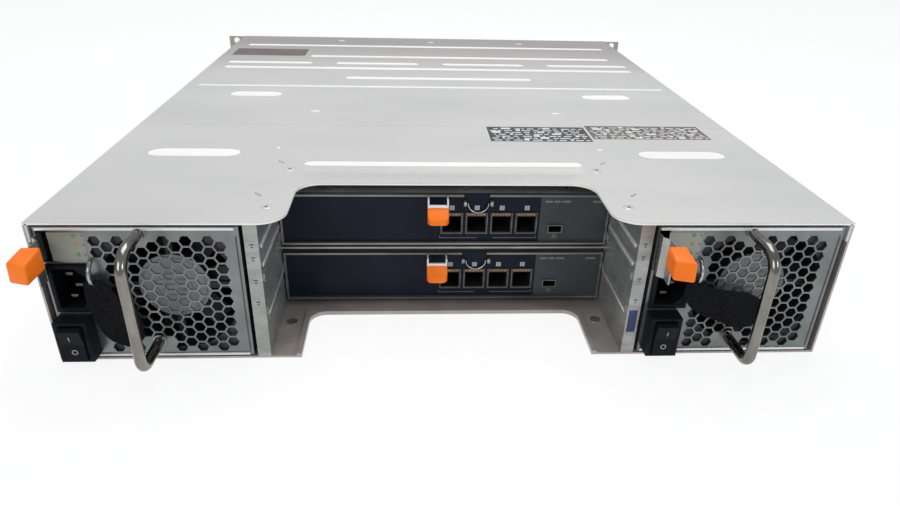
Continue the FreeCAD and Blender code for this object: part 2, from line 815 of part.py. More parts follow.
def switch_housing(side, centre):
    """Block that stands proud of the face, with the well in which the rocker tips."""
    body = new_body("supply_%s_switch_housing" % side)
    left = centre + " + switch_left"
    front = REAR + " - switch_proud"
    pad(body, "block", "XZ_Plane", front, "switch_proud + switch_depth",
        rectangle(left, "switch_low", left + " + switch_width", "switch_low + switch_height"))
    x = left + " + switch_width / 2"
    z = "switch_low + switch_height / 2"
    half_width = "rocker_width / 2"
    half_height = "(rocker_height / 2 + 1)"
    pocket(body, "well", "XZ_Plane", front, "switch_proud + switch_depth / 4",
           rectangle("%s - %s" % (x, half_width), "%s - %s" % (z, half_height),
                     "%s + %s" % (x, half_width), "%s + %s" % (z, half_height)))
    return keep(body)


def rocker(side, centre):
    """Rocker with a shallow V face, stored tipped towards its on end, on a pivot along X."""
    body = new_body("supply_%s_rocker" % side)
    half = "rocker_height / 2"
    section = [
        ("rocker_back", "-2.5"), ("rocker_back", "2.5"), ("-1", half), ("-rocker_end", half),
        ("-rocker_middle", "0"), ("-rocker_end", "-" + half), ("-1", "-" + half),
    ]
    length = "rocker_width - 2 * clearance"
    pad(body, "paddle", "YZ_Plane", "-(%s) / 2" % length, length, section)
    tip = FreeCAD.Rotation(vector(1, 0, 0), value("rocker_tilt"))
    place_body(body, tip, centre + " + switch_left + switch_width / 2", REAR + " - switch_proud + 2.6",
               "switch_low + switch_height / 2")
    return keep(body)


def draw_path(sketch, corners):
    """An open chain of straight runs through the given places."""
    places = [vector(value(x), value(y), 0) for x, y in corners]
    last = len(places) - 2
    for index in range(last + 1):
        sketch.addGeometry(Part.LineSegment(places[index], places[index + 1]))
    for index in range(last):
        sketch.addConstraint(Sketcher.Constraint("Coincident", index, 2, index + 1, 1))
    for index, (x, y) in enumerate(corners[:-1]):
        hold(sketch, "DistanceX", index, 1, x)
        hold(sketch, "DistanceY", index, 1, y)
    hold(sketch, "DistanceX", last, 2, corners[-1][0])
    hold(sketch, "DistanceY", last, 2, corners[-1][1])


def handle(side, centre):
    """Bar bent into a D, its two ends standing on the supply's face; each bend is made of short straight runs."""
    body = new_body("supply_%s_handle" % side)
    path = new_sketch(body, "path", "YZ_Plane", centre + " + handle_side", [])
    bend_y = REAR + " - handle_reach + handle_bend"
    upper = arc_corners(bend_y, "handle_top - handle_bend", "handle_bend", 90, 90, 4)
    lower = arc_corners(bend_y, "handle_bottom + handle_bend", "handle_bend", 180, 90, 4)
    draw_path(path, [(REAR, "handle_top")] + upper + lower + [(REAR, "handle_bottom")])
    section = new_sketch(body, "section", "XZ_Plane", REAR,
                         [many_sided(centre + " + handle_side", "handle_top", "handle_radius", 10)])
    document.recompute()
    bar = body.newObject("PartDesign::AdditivePipe", "bar")
    bar.Profile = section
    bar.Spine = path
    bar.Transition = "Right corner"
    return keep(body)


def latch_spring(side, centre):
    """Flat steel strip, held inside the case, that jogs sideways on its way out to the tab."""
    body = new_body("supply_%s_latch_spring" % side)
    root_x = centre + " + slot_left + clearance + 0.3"
    jog = "leaf_jog"
    thick = "leaf_thick"
    route = [("0", "leaf_root"), ("0", "-4.6"), (jog, "-7.4"), (jog, "-tab_near")]
    near = [("%s + %s" % (root_x, x), from_rear(y)) for x, y in route]
    far = [("%s + %s + %s" % (root_x, x, thick), from_rear(y)) for x, y in reversed(route)]
    pad(body, "strip", "XY_Plane", "leaf_low", "leaf_height", near + far)
    pocket(body, "step", "YZ_Plane", root_x + " - 1", "leaf_jog + leaf_thick + 2",
           rectangle(from_rear("-inlet_proud - 2 * clearance"), "leaf_low - 1", from_rear("leaf_root + 1"),
                     "slot_low + clearance"))
    return keep(body)


def latch_tab(side, centre):
    """Thumb tab moulded on the spring's end: a wedge, slanted at its outer end."""
    body = new_body("supply_%s_latch_tab" % side)
    left = centre + " + slot_left"
    outline = [
        (left + " + 1.4", from_rear("-tab_far + 1.5")),
        (left + " + tab_width", from_rear("-tab_far - 1")),
        (left + " + tab_width + 0.8", from_rear("-tab_near")),
        (left + " + 1.6", from_rear("-tab_near")),
        (left + " - 0.6", from_rear("-tab_far + 5")),
    ]
    pad(body, "wedge", "XY_Plane", "tab_low", "tab_height", outline)
    return keep(body)


def strap(side, centre, outline):
    """Hook-and-loop cord strap: a folded band, narrow where it passes the wire anchor."""
    body = new_body("supply_%s_strap" % side)
    near = REAR + " - inlet_proud - strap_gap - strap_thick"
    band = [("%s + anchor_side + (%s)" % (centre, x), "anchor_height + (%s)" % z) for x, z in outline]
    pad(body, "band", "XZ_Plane", near, "strap_thick", band)
    return keep(body)


# Band outlines, measured from the wire anchor.
HANGING_BAND = [
    (-4.5, 3.2), (4.0, 3.2), (11.0, -6.0), (20.0, -17.0), (31.0, -25.0), (34.0, -32.0), (31.0, -39.5),
    (22.0, -41.4), (17.0, -46.8), (7.0, -46.5), (-1.5, -40.0), (-4.0, -28.0), (-0.5, -14.0), (3.5, -3.2),
    (-4.5, -3.2),
]
LEVEL_BAND = [
    (-4.5, 3.2), (4.0, 3.2), (12.0, -2.0), (26.0, -7.5), (39.0, -15.0), (45.5, -25.0), (43.0, -32.0),
    (31.0, -32.0), (13.0, -28.0), (0.5, -23.0), (0.5, -12.0), (3.5, -3.2), (-4.5, -3.2),
]


# ---------------------------------------------------------------- I/O modules
def module_tray(level_name, low):
    """Sheet tray with the module's board across it and its plug at the front."""
    body = new_body("module_%s_tray" % level_name)
    rear = from_rear("module_setback") + " + module_face"
    length = "midplane_from_rear - connector_depth - clearance - module_setback - module_face"
    half = "module_width / 2"
    high = low + " + module_height"
    pad(body, "walls", "XZ_Plane", rear, length,
        rectangle("-" + half, low, half, high),
        rectangle("-%s + module_wall" % half, low + " + module_wall", "%s - module_wall" % half,
                  high + " - module_wall"))
    pad(body, "board", "XZ_Plane", rear + " + 4", length + " - 4",
        rectangle("-" + half + " + module_wall", low + " + 3.4", half + " - module_wall", low + " + 5"))
    pad(body, "plug", "XZ_Plane", rear + " + " + length + " - 8", "8",
        rectangle("-45", low + " + 5", "45", low + " + 12"))
    return keep(body)


def port_left(index):
    return "(port_first - port_width / 2 + port_pitch * %d)" % index


def module_face(level_name, low):
    """Face plate: openings for the sockets, folded lips round it, broken above the ring, and two eyelets."""
    body = new_body("module_%s_face" % level_name)
    rear = from_rear("module_setback")
    half = "module_width / 2"
    high = low + " + module_height"
    openings = [rectangle(port_left(index), low + " + port_low", port_left(index) + " + port_width",
                          low + " + port_low + port_height") for index in range(4)]
    openings.append(rectangle("usb_side - usb_width / 2", low + " + usb_middle - usb_height / 2",
                              "usb_side + usb_width / 2", low + " + usb_middle + usb_height / 2"))
    pad(body, "plate", "XZ_Plane", rear, "module_face", rectangle("-" + half, low, half, high), *openings)
    lip = "module_face"
    lips = [
        rectangle("-" + half, low, half, low + " + " + lip),
        rectangle("-" + half, high + " - " + lip, "lip_break_left", high),
        rectangle("lip_break_right", high + " - " + lip, half, high),
    ]
    pad(body, "lips", "XZ_Plane", rear + " - lip_proud", "lip_proud", *lips)
    sides = [
        rectangle("-" + half, low + " + " + lip, "-%s + %s" % (half, lip), high + " - " + lip),
        rectangle("%s - %s" % (half, lip), low + " + " + lip, half, high + " - " + lip),
    ]
    pad(body, "side_lips", "XZ_Plane", rear + " - lip_proud", "lip_proud", *sides)
    eyelets = []
    for sign in ("-", "+"):
        x = "ring_side %s (ring_radius + ring_wire + clearance + 0.9)" % sign
        z = low + " + ring_middle"
        eyelets.append(rectangle(x + " - 0.9", z + " - 1.6", x + " + 0.9", z + " + 1.6"))
    pad(body, "eyelets", "XZ_Plane", rear + " - 2 * ring_standoff", "2 * ring_standoff", *eyelets)
    return keep(body)


def module_ports(level_name, low):
    """Four cable sockets with folded steel frames, closed at the back, and the small service port's shell."""
    body = new_body("module_%s_ports" % level_name)
    rear = from_rear("module_setback") + " - 0.6"
    frames = []
    backs = []
    for index in range(4):
        left = port_left(index)
        right = left + " + port_width"
        floor = low + " + port_low"
        top = floor + " + port_height"
        frames.append(rectangle(left, floor, right, top))
        frames.append(rectangle(left + " + port_wall", floor + " + port_wall", right + " - port_wall",
                                top + " - finger_height"))
        backs.append(rectangle(left, floor, right, top))
    shell = [
        rectangle("usb_side - usb_width / 2", low + " + usb_middle - usb_height / 2",
                  "usb_side + usb_width / 2", low + " + usb_middle + usb_height / 2"),
        rectangle("usb_side - usb_width / 2 + 0.5", low + " + usb_middle - usb_height / 2 + 0.4",
                  "usb_side + usb_width / 2 - 0.5", low + " + usb_middle + usb_height / 2 - 0.4"),
    ]
    pad(body, "frames", "XZ_Plane", rear, "port_depth", *(frames + shell))
    backs.append(shell[0])
    pad(body, "backs", "XZ_Plane", rear + " + port_depth", "port_wall", *backs)
    return keep(body)


def module_latch(level_name, low):
    """Steel bracket hung from the face's top edge with the orange thumb grip moulded on its bar."""
    body = new_body("module_%s_latch" % level_name)
    rear = "%s + module_setback" % REAR
    left = "grip_side - grip_width / 2"
    right = "grip_side + grip_width / 2"
    root = rear + " - lip_proud - clearance"
    arm = [
        (root, low + " + module_height - 0.6"),
        (root, low + " + module_height - 0.6 - bracket_wire"),
        (rear + " - grip_front + 0.4", low + " + grip_top - 3.6"),
        (rear + " - grip_front - bracket_wire + 0.4", low + " + grip_top - 2.6"),
    ]
    pad(body, "left_arm", "YZ_Plane", left, "bracket_wire", arm)
    pad(body, "right_arm", "YZ_Plane", right + " - bracket_wire", "bracket_wire", arm)
    pad(body, "bar", "YZ_Plane", left, "grip_width",
        [(rear + " - grip_front + 0.4", low + " + grip_top - 3.6"),
         (rear + " - grip_front - bracket_wire + 0.4", low + " + grip_top - 2.6"),
         (rear + " - grip_front - bracket_wire - 0.2", low + " + grip_top - 4.6"),
         (rear + " - grip_front - 0.2", low + " + grip_top - 5.4")])
    grip = [
        (rear + " - grip_front", low + " + grip_top - 4"),
        (rear + " - grip_rear + 1", low + " + grip_top - 9.4"),
        (rear + " - grip_rear", low + " + grip_low + 0.6"),
        (rear + " - grip_rear + 3.4", low + " + grip_low"),
        (rear + " - grip_front + 1.6", low + " + grip_top - 8.6"),
    ]
    pad(body, "grip", "YZ_Plane", left, "grip_width", grip)
    return keep(body)


def module_ring(level_name, low):
    """Wire pull ring that hangs by its two ends between the eyelets."""
    body = new_body("module_%s_ring" % level_name)
    pad(body, "bow", "XZ_Plane", from_rear("module_setback") + " - ring_standoff - ring_wire", "2 * ring_wire",
        half_hoop("ring_side", low + " + ring_middle", "ring_radius", "ring_wire", 180, 6))
    return keep(body)


# ---------------------------------------------------------------- drives
def carrier_low(level):
    return "(%s + web / 2 + clearance)" % row_low(level)


CARRIER_HALF = "((%s / columns) - web / 2 - clearance)" % SKIRT_INNER
CARRIER_HEIGHT = "(%s - web - 2 * clearance)" % ROW_STEP
HINGE_Y = from_rear("carrier_front") + " + clearance + lever_thick / 2"
FIRST_DRIVE_CORNER = "(drive_width / 2)"


def drive_carrier(number, column, level):
    """Carrier with its drive: floor, side rails, drive block, slotted front and the two lugs for the lever's pin."""
    body = new_body("drive_carrier_%d" % number)
    middle = column_middle(column)
    low = carrier_low(level)
    high = low + " + " + CARRIER_HEIGHT
    left = "%s - %s" % (middle, CARRIER_HALF)
    right = "%s + %s" % (middle, CARRIER_HALF)
    front = from_rear("carrier_front")
    rear = from_rear("cage_rear") + " + clearance"
    drive = rectangle("%s - %s" % (middle, FIRST_DRIVE_CORNER), low, "%s + %s" % (middle, FIRST_DRIVE_CORNER),
                      high + " - 1")
    pad(body, "drive", "XZ_Plane", rear, "drive_length", drive)
    rails = [
        rectangle(left, low, "%s - %s" % (middle, FIRST_DRIVE_CORNER), low + " + carrier_rail_height"),
        rectangle("%s + %s" % (middle, FIRST_DRIVE_CORNER), low, right, low + " + carrier_rail_height"),
    ]
    rail_length = "carrier_front - cage_rear - carrier_front_depth - 12 - clearance"
    pad(body, "rails", "XZ_Plane", rear + " + 12", rail_length, *rails)
    pad(body, "floor", "XZ_Plane", rear + " + drive_length", rail_length + " + 12 - drive_length",
        rectangle("%s - %s" % (middle, FIRST_DRIVE_CORNER), low, "%s + %s" % (middle, FIRST_DRIVE_CORNER),
                  low + " + carrier_floor"))
    vent = rectangle(middle + " - vent_long", low + " + vent_low", middle + " + vent_short",
                     low + " + vent_low + vent_high")
    pad(body, "front", "XZ_Plane", front + " - carrier_front_depth", "carrier_front_depth",
        rectangle(left, low, right, high), vent)
    hinge_x = "%s - lever_pin_inset" % right
    lug = rectangle(hinge_x + " - lug_half", front, hinge_x + " + lug_half", HINGE_Y + " + lever_thick / 2")
    hole = many_sided(hinge_x, HINGE_Y, "lever_pin_radius + lever_pin_play", 6, around=True)
    lever_low = "(%s + (%s - lever_height) / 2)" % (low, CARRIER_HEIGHT)
    pad(body, "lower_lug", "XY_Plane", lever_low + " - clearance - lug_thick", "lug_thick", lug, hole)
    pad(body, "upper_lug", "XY_Plane", lever_low + " + lever_height + clearance", "lug_thick", lug, hole)
    return keep(body)


def carrier_lever(number, column, level):
    """Cam lever across the carrier's front, with bevelled ends and its pin in the two lugs."""
    body = new_body("carrier_lever_%d" % number)
    middle = column_middle(column)
    low = carrier_low(level)
    right = "%s + %s" % (middle, CARRIER_HALF)
    hinge_x = "%s - lever_pin_inset" % right
    lever_low = "(%s + (%s - lever_height) / 2)" % (low, CARRIER_HEIGHT)
    left_end = "%s - %s + lever_margin" % (middle, CARRIER_HALF)
    pad(body, "blade", "XY_Plane", lever_low, "lever_height",
        bevelled(left_end, HINGE_Y + " - lever_thick / 2", hinge_x + " + lever_thick / 2",
                 HINGE_Y + " + lever_thick / 2"))
    pad(body, "pin", "XY_Plane", lever_low + " - clearance - pin_stub", "lever_height + 2 * clearance + 2 * pin_stub",
        many_sided(hinge_x, HINGE_Y, "lever_pin_radius", 6))
    return keep(body)


# ---------------------------------------------------------------- assembly
def build():
    chassis_pan()
    rear_cover()
    front_cover()
    bay_walls()
    module_shelf()
    midplane()
    drive_cage()
    rack_ears()
    for side, centre, band in (("left", "(-supply_centre)", HANGING_BAND), ("right", "supply_centre", LEVEL_BAND)):
        supply_case(side, centre)
        fan_rotor(side, centre)
        power_inlet(side, centre)
        switch_housing(side, centre)
        rocker(side, centre)
        handle(side, centre)
        latch_spring(side, centre)
        latch_tab(side, centre)
        strap(side, centre, band)
    for level_name, low in (("lower", "module_low"), ("upper", "module_low + module_pitch")):
        module_tray(level_name, low)
        module_face(level_name, low)
        module_ports(level_name, low)
        module_latch(level_name, low)
        module_ring(level_name, low)
    number = 0
    for level in range(3):
        for column in range(4):
            number += 1
            drive_carrier(number, column, level)
            carrier_lever(number, column, level)


def check_and_write():
    """Refuse failed features and broken shapes, then write one file for each sub-part."""
    document.recompute()
    failed = [item.Name for item in document.Objects if "Invalid" in item.State or "Error" in item.State]
    if failed:
        raise ValueError("these features failed: %s" % ", ".join(failed))
    for part in sub_parts:
        if part.Shape.isNull() or not part.Shape.isValid() or not part.Shape.Solids:
            raise ValueError("%s has no sound solid" % part.Label)
    os.makedirs("parts", exist_ok=True)
    for part in sub_parts:
        part.Shape.exportStep("parts/%s.step" % part.Label)
        print(part.Label, len(part.Shape.Solids), "solid(s)", round(part.Shape.Volume / 1000.0, 2), "cm3")


build()
check_and_write()
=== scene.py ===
# %% [markdown]
# # A rack-mount disk shelf, seen from its service side
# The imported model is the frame: it gives every piece's size and place.
# This lesson dresses that frame: finishes first, then the small pieces that a sheet-metal
# product carries, such as bent handles, thumb tabs, lamps, marks and straps.

# %% Load the frame
import math
import bpy
from mathutils import Matrix, Vector


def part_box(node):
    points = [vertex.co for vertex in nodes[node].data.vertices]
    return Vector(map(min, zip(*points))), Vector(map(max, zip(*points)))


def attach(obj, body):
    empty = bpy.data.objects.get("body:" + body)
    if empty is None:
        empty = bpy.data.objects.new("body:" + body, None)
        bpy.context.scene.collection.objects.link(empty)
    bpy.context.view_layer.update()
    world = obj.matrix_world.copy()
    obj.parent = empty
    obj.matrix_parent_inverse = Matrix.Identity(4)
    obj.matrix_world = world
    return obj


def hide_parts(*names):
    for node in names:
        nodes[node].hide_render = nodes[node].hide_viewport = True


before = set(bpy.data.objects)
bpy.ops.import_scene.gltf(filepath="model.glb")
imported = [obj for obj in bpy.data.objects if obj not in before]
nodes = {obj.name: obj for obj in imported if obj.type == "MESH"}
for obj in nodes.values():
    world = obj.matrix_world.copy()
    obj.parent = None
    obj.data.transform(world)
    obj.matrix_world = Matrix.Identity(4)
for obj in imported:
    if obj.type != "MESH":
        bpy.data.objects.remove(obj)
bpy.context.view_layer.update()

# %% Places that the frame gives
MM = 0.001
pan_low, pan_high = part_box("chassis_pan")
REAR = pan_low.y
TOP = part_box("rear_cover")[1].z
WIDE = pan_high.x - pan_low.x
SHEET = 1.2 * MM
SIDES = ("left", "right")
LEVELS = ("lower", "upper")


def middle(node, axis):
    """Middle of a node's box along one axis."""
    low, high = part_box(node)
    return (low[axis] + high[axis]) / 2


SUPPLY_X = {side: middle("supply_%s_case" % side, 0) for side in SIDES}
MODULE_Z = {level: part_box("module_%s_face" % level)[0].z for level in LEVELS}
FACE_PLATE = 1.2 * MM
MODULE_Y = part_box("module_lower_tray")[0].y - FACE_PLATE


def rear_spot(x, depth, z):
    """A place in millimetres: x, distance in front of the rear face, height."""
    return Vector((x * MM, REAR + depth * MM, z * MM))


def supply_spot(side, x, depth, z):
    """The same, with x counted from the middle of one power supply."""
    return rear_spot(x, depth, z) + Vector((SUPPLY_X[side], 0, 0))


def module_spot(level, x, depth, z):
    """x from the shelf's middle, depth from the module's face plate, height from its underside."""
    return Vector((x * MM, MODULE_Y + depth * MM, MODULE_Z[level] + z * MM))


print("rear face at", round(REAR, 4), "top at", round(TOP, 4))

# %% [markdown]
# ## Camera
# The camera stands a little left of the middle, above the shelf, and looks down at its rear.
# A real camera's place and lens are given in metres and millimetres, so nothing is guessed by eye.

# %% Camera
bpy.ops.object.camera_add(location=(-0.02352, -0.59330, 0.23931))
camera = bpy.context.object
camera.name = "view_camera"
yaw = Matrix.Rotation(math.radians(-3.56), 4, "Z")
pitch = Matrix.Rotation(math.radians(-27.552), 4, "X")
roll = Matrix.Rotation(math.radians(-1.547), 4, "Y")
upright = Matrix.Rotation(math.radians(90), 4, "X")
camera.matrix_world = Matrix.Translation(camera.location) @ yaw @ pitch @ roll @ upright
camera.data.lens = 26.893
camera.data.sensor_width = 36
camera.data.shift_x = 0.00496
camera.data.shift_y = -0.00173
camera.data.clip_start = 0.01
bpy.context.scene.camera = camera
bpy.context.scene.view_settings.view_transform = "Standard"
print("camera lens", camera.data.lens)

# %% [markdown]
# ## Floor, sky and lamps
# A white studio floor keeps the shadow. It shows as plain white because part of its brightness
# comes from a Light Path switch, which puts no extra light on the object.


# %% Node helpers
def node(tree, kind, **values):
    """Add a shader node and set its inputs by name."""
    made = tree.nodes.new(kind)
    for name, value in values.items():
        made.inputs[name.replace("_", " ")].default_value = value
    return made


def calc(tree, operation, first, second):
    """A Math node; each input is a number or a socket."""
    made = tree.nodes.new("ShaderNodeMath")
    made.operation = operation
    for index, item in enumerate((first, second)):
        if isinstance(item, (int, float)):
            made.inputs[index].default_value = item
        else:
            tree.links.new(item, made.inputs[index])
    return made.outputs[0]


def fresh(name):
    """A new material with an empty node tree and an output."""
    material = bpy.data.materials.new(name)
    material.use_nodes = True
    material.node_tree.nodes.clear()
    return material, material.node_tree


def show(tree, shader):
    """Join a shader to the material's output."""
    output = tree.nodes.new("ShaderNodeOutputMaterial")
    tree.links.new(shader, output.inputs["Surface"])


def seen_directly(tree):
    """1 for camera, mirror and glass rays, 0 for the rays that carry light."""
    path = tree.nodes.new("ShaderNodeLightPath")
    mirror = calc(tree, "MAXIMUM", path.outputs["Is Glossy Ray"], path.outputs["Is Transmission Ray"])
    return calc(tree, "MAXIMUM", path.outputs["Is Camera Ray"], mirror)


# %% Floor and backdrop
floor_paint, tree = fresh("studio_white")
paper = node(tree, "ShaderNodeBsdfDiffuse", Color=(0.9, 0.9, 0.9, 1))
glow = node(tree, "ShaderNodeEmission", Color=(1, 1, 1, 1), Strength=1.0)
mix = tree.nodes.new("ShaderNodeMixShader")
tree.links.new(calc(tree, "MULTIPLY", seen_directly(tree), 0.88), mix.inputs[0])
tree.links.new(paper.outputs[0], mix.inputs[1])
tree.links.new(glow.outputs[0], mix.inputs[2])
show(tree, mix.outputs[0])
bpy.ops.object.select_all(action="DESELECT")
bpy.ops.mesh.primitive_plane_add(size=12, location=(0, 0, -0.0005))
floor = bpy.context.object
floor.name = "studio_floor"
floor.data.materials.append(floor_paint)

# %% Sky and lamps
world = bpy.data.worlds.new("studio_sky")
bpy.context.scene.world = world
world.use_nodes = True
tree = world.node_tree
tree.nodes.clear()
dim = node(tree, "ShaderNodeBackground", Color=(0.80, 0.86, 0.95, 1), Strength=0.55)
bright = node(tree, "ShaderNodeBackground", Color=(1, 1, 1, 1), Strength=1.0)
mix = tree.nodes.new("ShaderNodeMixShader")
path = tree.nodes.new("ShaderNodeLightPath")
tree.links.new(path.outputs["Is Camera Ray"], mix.inputs[0])
tree.links.new(dim.outputs[0], mix.inputs[1])
tree.links.new(bright.outputs[0], mix.inputs[2])
output = tree.nodes.new("ShaderNodeOutputWorld")
tree.links.new(mix.outputs[0], output.inputs["Surface"])


def lamp(name, place, aim, size, watts, colour):
    """A square soft lamp that faces a point."""
    bpy.ops.object.light_add(type="AREA", location=place)
    made = bpy.context.object
    made.name = name
    made.data.size = size
    made.data.energy = watts
    made.data.color = colour
    turn = (Vector(aim) - Vector(place)).to_track_quat("-Z", "Y")
    made.rotation_euler = turn.to_euler()
    return made


lamp("ceiling_lamp", (0.1, 0.35, 1.5), (0, 0.05, 0), 1.3, 17, (1.0, 0.97, 0.93))
lamp("room_lamp", (-0.9, -1.5, 1.0), (0, -0.25, 0.05), 0.8, 9, (1.0, 0.96, 0.92))
lamp("window_lamp", (1.2, -1.2, 0.8), (0, -0.25, 0.05), 0.5, 5, (0.9, 0.95, 1.0))

# %% [markdown]
# ## Finishes
# Sheet steel, moulded plastic and cloth each get colour, gloss and relief from noise that is read
# in Object coordinates, so the grain keeps its real size and stays on the piece when it moves.


# %% Texture helpers
def grain(tree, stretch, scale, detail=4.0):
    """Noise in Object coordinates, stretched along an axis for rolled or brushed metal."""
    coords = tree.nodes.new("ShaderNodeTexCoord")
    mapping = node(tree, "ShaderNodeMapping", Scale=stretch)
    noise = node(tree, "ShaderNodeTexNoise", Scale=scale, Detail=detail)
    tree.links.new(coords.outputs["Object"], mapping.inputs["Vector"])
    tree.links.new(mapping.outputs["Vector"], noise.inputs["Vector"])
    return noise.outputs["Fac"]


def ramp(tree, factor, *stops):
    """A colour ramp; each stop is (place, red, green, blue)."""
    made = tree.nodes.new("ShaderNodeValToRGB")
    band = made.color_ramp
    while len(band.elements) < len(stops):
        band.elements.new(0.5)
    for element, (place, red, green, blue) in zip(band.elements, stops):
        element.position = place
        element.color = (red, green, blue, 1)
    tree.links.new(factor, made.inputs["Fac"])
    return made.outputs["Color"]


def spread(tree, factor, low, high):
    """Turn a 0 to 1 texture into a number between two limits."""
    made = node(tree, "ShaderNodeMapRange", To_Min=low, To_Max=high)
    tree.links.new(factor, made.inputs["Value"])
    return made.outputs["Result"]


def skin(tree, dark, light, metal, rough, stretch=(1, 1, 1), scale=60.0, bump=0.05, bump_scale=900.0,
         shine=0.5):
    """One finish: blotchy colour between two tones, uneven gloss and a fine relief."""
    shader = node(tree, "ShaderNodeBsdfPrincipled", Metallic=metal, Specular_IOR_Level=shine)
    cloud = grain(tree, stretch, scale)
    tree.links.new(ramp(tree, cloud, (0.3, *dark), (0.7, *light)), shader.inputs["Base Color"])
    tree.links.new(spread(tree, grain(tree, stretch, scale * 2.3), rough * 0.75, rough * 1.25),
                   shader.inputs["Roughness"])
    relief = node(tree, "ShaderNodeBump", Strength=bump, Distance=0.0004)
    tree.links.new(grain(tree, stretch, bump_scale, 2.0), relief.inputs["Height"])
    tree.links.new(relief.outputs["Normal"], shader.inputs["Normal"])
    return shader.outputs["BSDF"]


def inside(tree, low, high):
    """1 where the surface lies between two corners, in Object coordinates; None leaves a side open."""
    coords = tree.nodes.new("ShaderNodeTexCoord")
    split = tree.nodes.new("ShaderNodeSeparateXYZ")
    tree.links.new(coords.outputs["Object"], split.inputs[0])
    found = 1.0
    for axis in range(3):
        if low[axis] is not None:
            found = calc(tree, "MULTIPLY", found, calc(tree, "GREATER_THAN", split.outputs[axis], low[axis]))
        if high[axis] is not None:
            found = calc(tree, "MULTIPLY", found, calc(tree, "LESS_THAN", split.outputs[axis], high[axis]))
    return found


def over(tree, factor, under, upper):
    """Lay one finish over another where the factor is 1."""
    made = tree.nodes.new("ShaderNodeMixShader")
    tree.links.new(factor, made.inputs[0])
    tree.links.new(under, made.inputs[1])
    tree.links.new(upper, made.inputs[2])
    return made.outputs[0]


def plain(name, *args, **more):
    """A material of one finish."""
    material, tree = fresh(name)
    show(tree, skin(tree, *args, **more))
    return material


# %% Metals
# Painted reflection: from 330 to 500 mm in front of the rear face the lid's colour darkens, standing in for a
# darker room mirrored in the far part of the sheet.
DARK_REFLECTION_FROM = REAR + 330 * MM
DARK_REFLECTION_TO = REAR + 500 * MM
PRESS_FLOOR = TOP - 1.3 * MM
PRESS_EDGE = TOP - 0.25 * MM
lid_steel, tree = fresh("lid_steel")
sheet_skin = skin(tree, (0.56, 0.55, 0.535), (0.61, 0.60, 0.58), 0.22, 0.45, (0.6, 1.5, 1.5), 9, 0.035, 700)
# Darker copy of the sheet's finish, used for that painted reflection.
dark_reflection_skin = skin(tree, (0.36, 0.33, 0.31), (0.42, 0.39, 0.37), 0.3, 0.42, (0.6, 1.5, 1.5), 9, 0.035, 700)
# Painted highlight: the floors of the pressings get a near-white copy of the sheet's finish for the light
# they catch.
pressed_highlight_skin = skin(tree, (0.84, 0.825, 0.80), (0.90, 0.885, 0.86), 0.1, 0.45, (0.6, 1.5, 1.5), 20, 0.03, 700)
coords = tree.nodes.new("ShaderNodeTexCoord")
split = tree.nodes.new("ShaderNodeSeparateXYZ")
tree.links.new(coords.outputs["Object"], split.inputs[0])
dark_reflection = node(tree, "ShaderNodeMapRange", From_Min=DARK_REFLECTION_FROM, From_Max=DARK_REFLECTION_TO)
tree.links.new(split.outputs["Y"], dark_reflection.inputs["Value"])
# The band just below the top face, the pressing floors, takes the painted highlight.
pressed = inside(tree, (None, None, PRESS_FLOOR), (None, None, PRESS_EDGE))
show(tree, over(tree, pressed, over(tree, dark_reflection.outputs["Result"], sheet_skin, dark_reflection_skin), pressed_highlight_skin))

pan_steel = plain("pan_steel", (0.36, 0.325, 0.30), (0.47, 0.43, 0.40), 0.45, 0.34, (1, 1, 1), 45, 0.06, 500)
wall_steel = plain("wall_steel", (0.26, 0.265, 0.255), (0.40, 0.405, 0.39), 0.6, 0.3, (1, 1, 3), 60, 0.08,
                   400)
ear_steel = plain("ear_steel", (0.34, 0.32, 0.30), (0.42, 0.40, 0.375), 0.4, 0.4, bump=0.05)
bar_chrome = plain("bar_chrome", (0.15, 0.145, 0.13), (0.30, 0.285, 0.26), 1.0, 0.17, (1, 1, 0.4), 90, 0.05,
                   1200)
wire_chrome = plain("wire_chrome", (0.30, 0.30, 0.30), (0.55, 0.55, 0.55), 1.0, 0.2, bump=0.02)
leaf_steel = plain("leaf_steel", (0.30, 0.295, 0.28), (0.45, 0.44, 0.42), 0.85, 0.28, (1, 3, 1), 80, 0.04)
lamp_silver = plain("lamp_silver", (0.24, 0.245, 0.21), (0.29, 0.295, 0.255), 0.3, 0.42, scale=8, bump=0.02)
bright_strip = plain("bright_strip", (0.62, 0.61, 0.6), (0.8, 0.79, 0.77), 0.5, 0.3, (0.3, 3, 3), 40, 0.03)
# Painted highlight: near-white steel for the bright line along the lid's ridge and on its bumps.
ridge_highlight_steel = plain("ridge_highlight_steel", (0.84, 0.825, 0.80), (0.90, 0.885, 0.86), 0.1, 0.45, (0.3, 3, 3), 40, 0.03)
gold_finger = plain("gold_finger", (0.20, 0.10, 0.045), (0.40, 0.24, 0.13), 1.0, 0.3, (1, 1, 1), 400, 0.03)

# %% Plastics, print and cloth
black_plastic = plain("black_plastic", (0.004, 0.0045, 0.0065), (0.009, 0.010, 0.014), 0.0, 0.45, bump=0.12,
                      shine=0.08)
fan_black = plain("fan_black", (0.010, 0.010, 0.011), (0.020, 0.020, 0.021), 0.0, 0.5, bump=0.1)
orange_plastic = plain("orange_plastic", (0.84, 0.15, 0.004), (0.91, 0.19, 0.006), 0.0, 0.36, bump=0.05,
                       shine=0.3)
pale_print = plain("pale_print", (0.30, 0.31, 0.31), (0.40, 0.40, 0.40), 0.0, 0.5, bump=0.02)
white_print = plain("white_print", (0.60, 0.60, 0.59), (0.78, 0.78, 0.77), 0.0, 0.5, bump=0.02)
dark_print = plain("dark_print", (0.035, 0.035, 0.036), (0.06, 0.06, 0.062), 0.0, 0.5, bump=0.02)
brown_print = plain("brown_print", (0.11, 0.092, 0.08), (0.16, 0.135, 0.12), 0.0, 0.5, scale=90, bump=0.02)
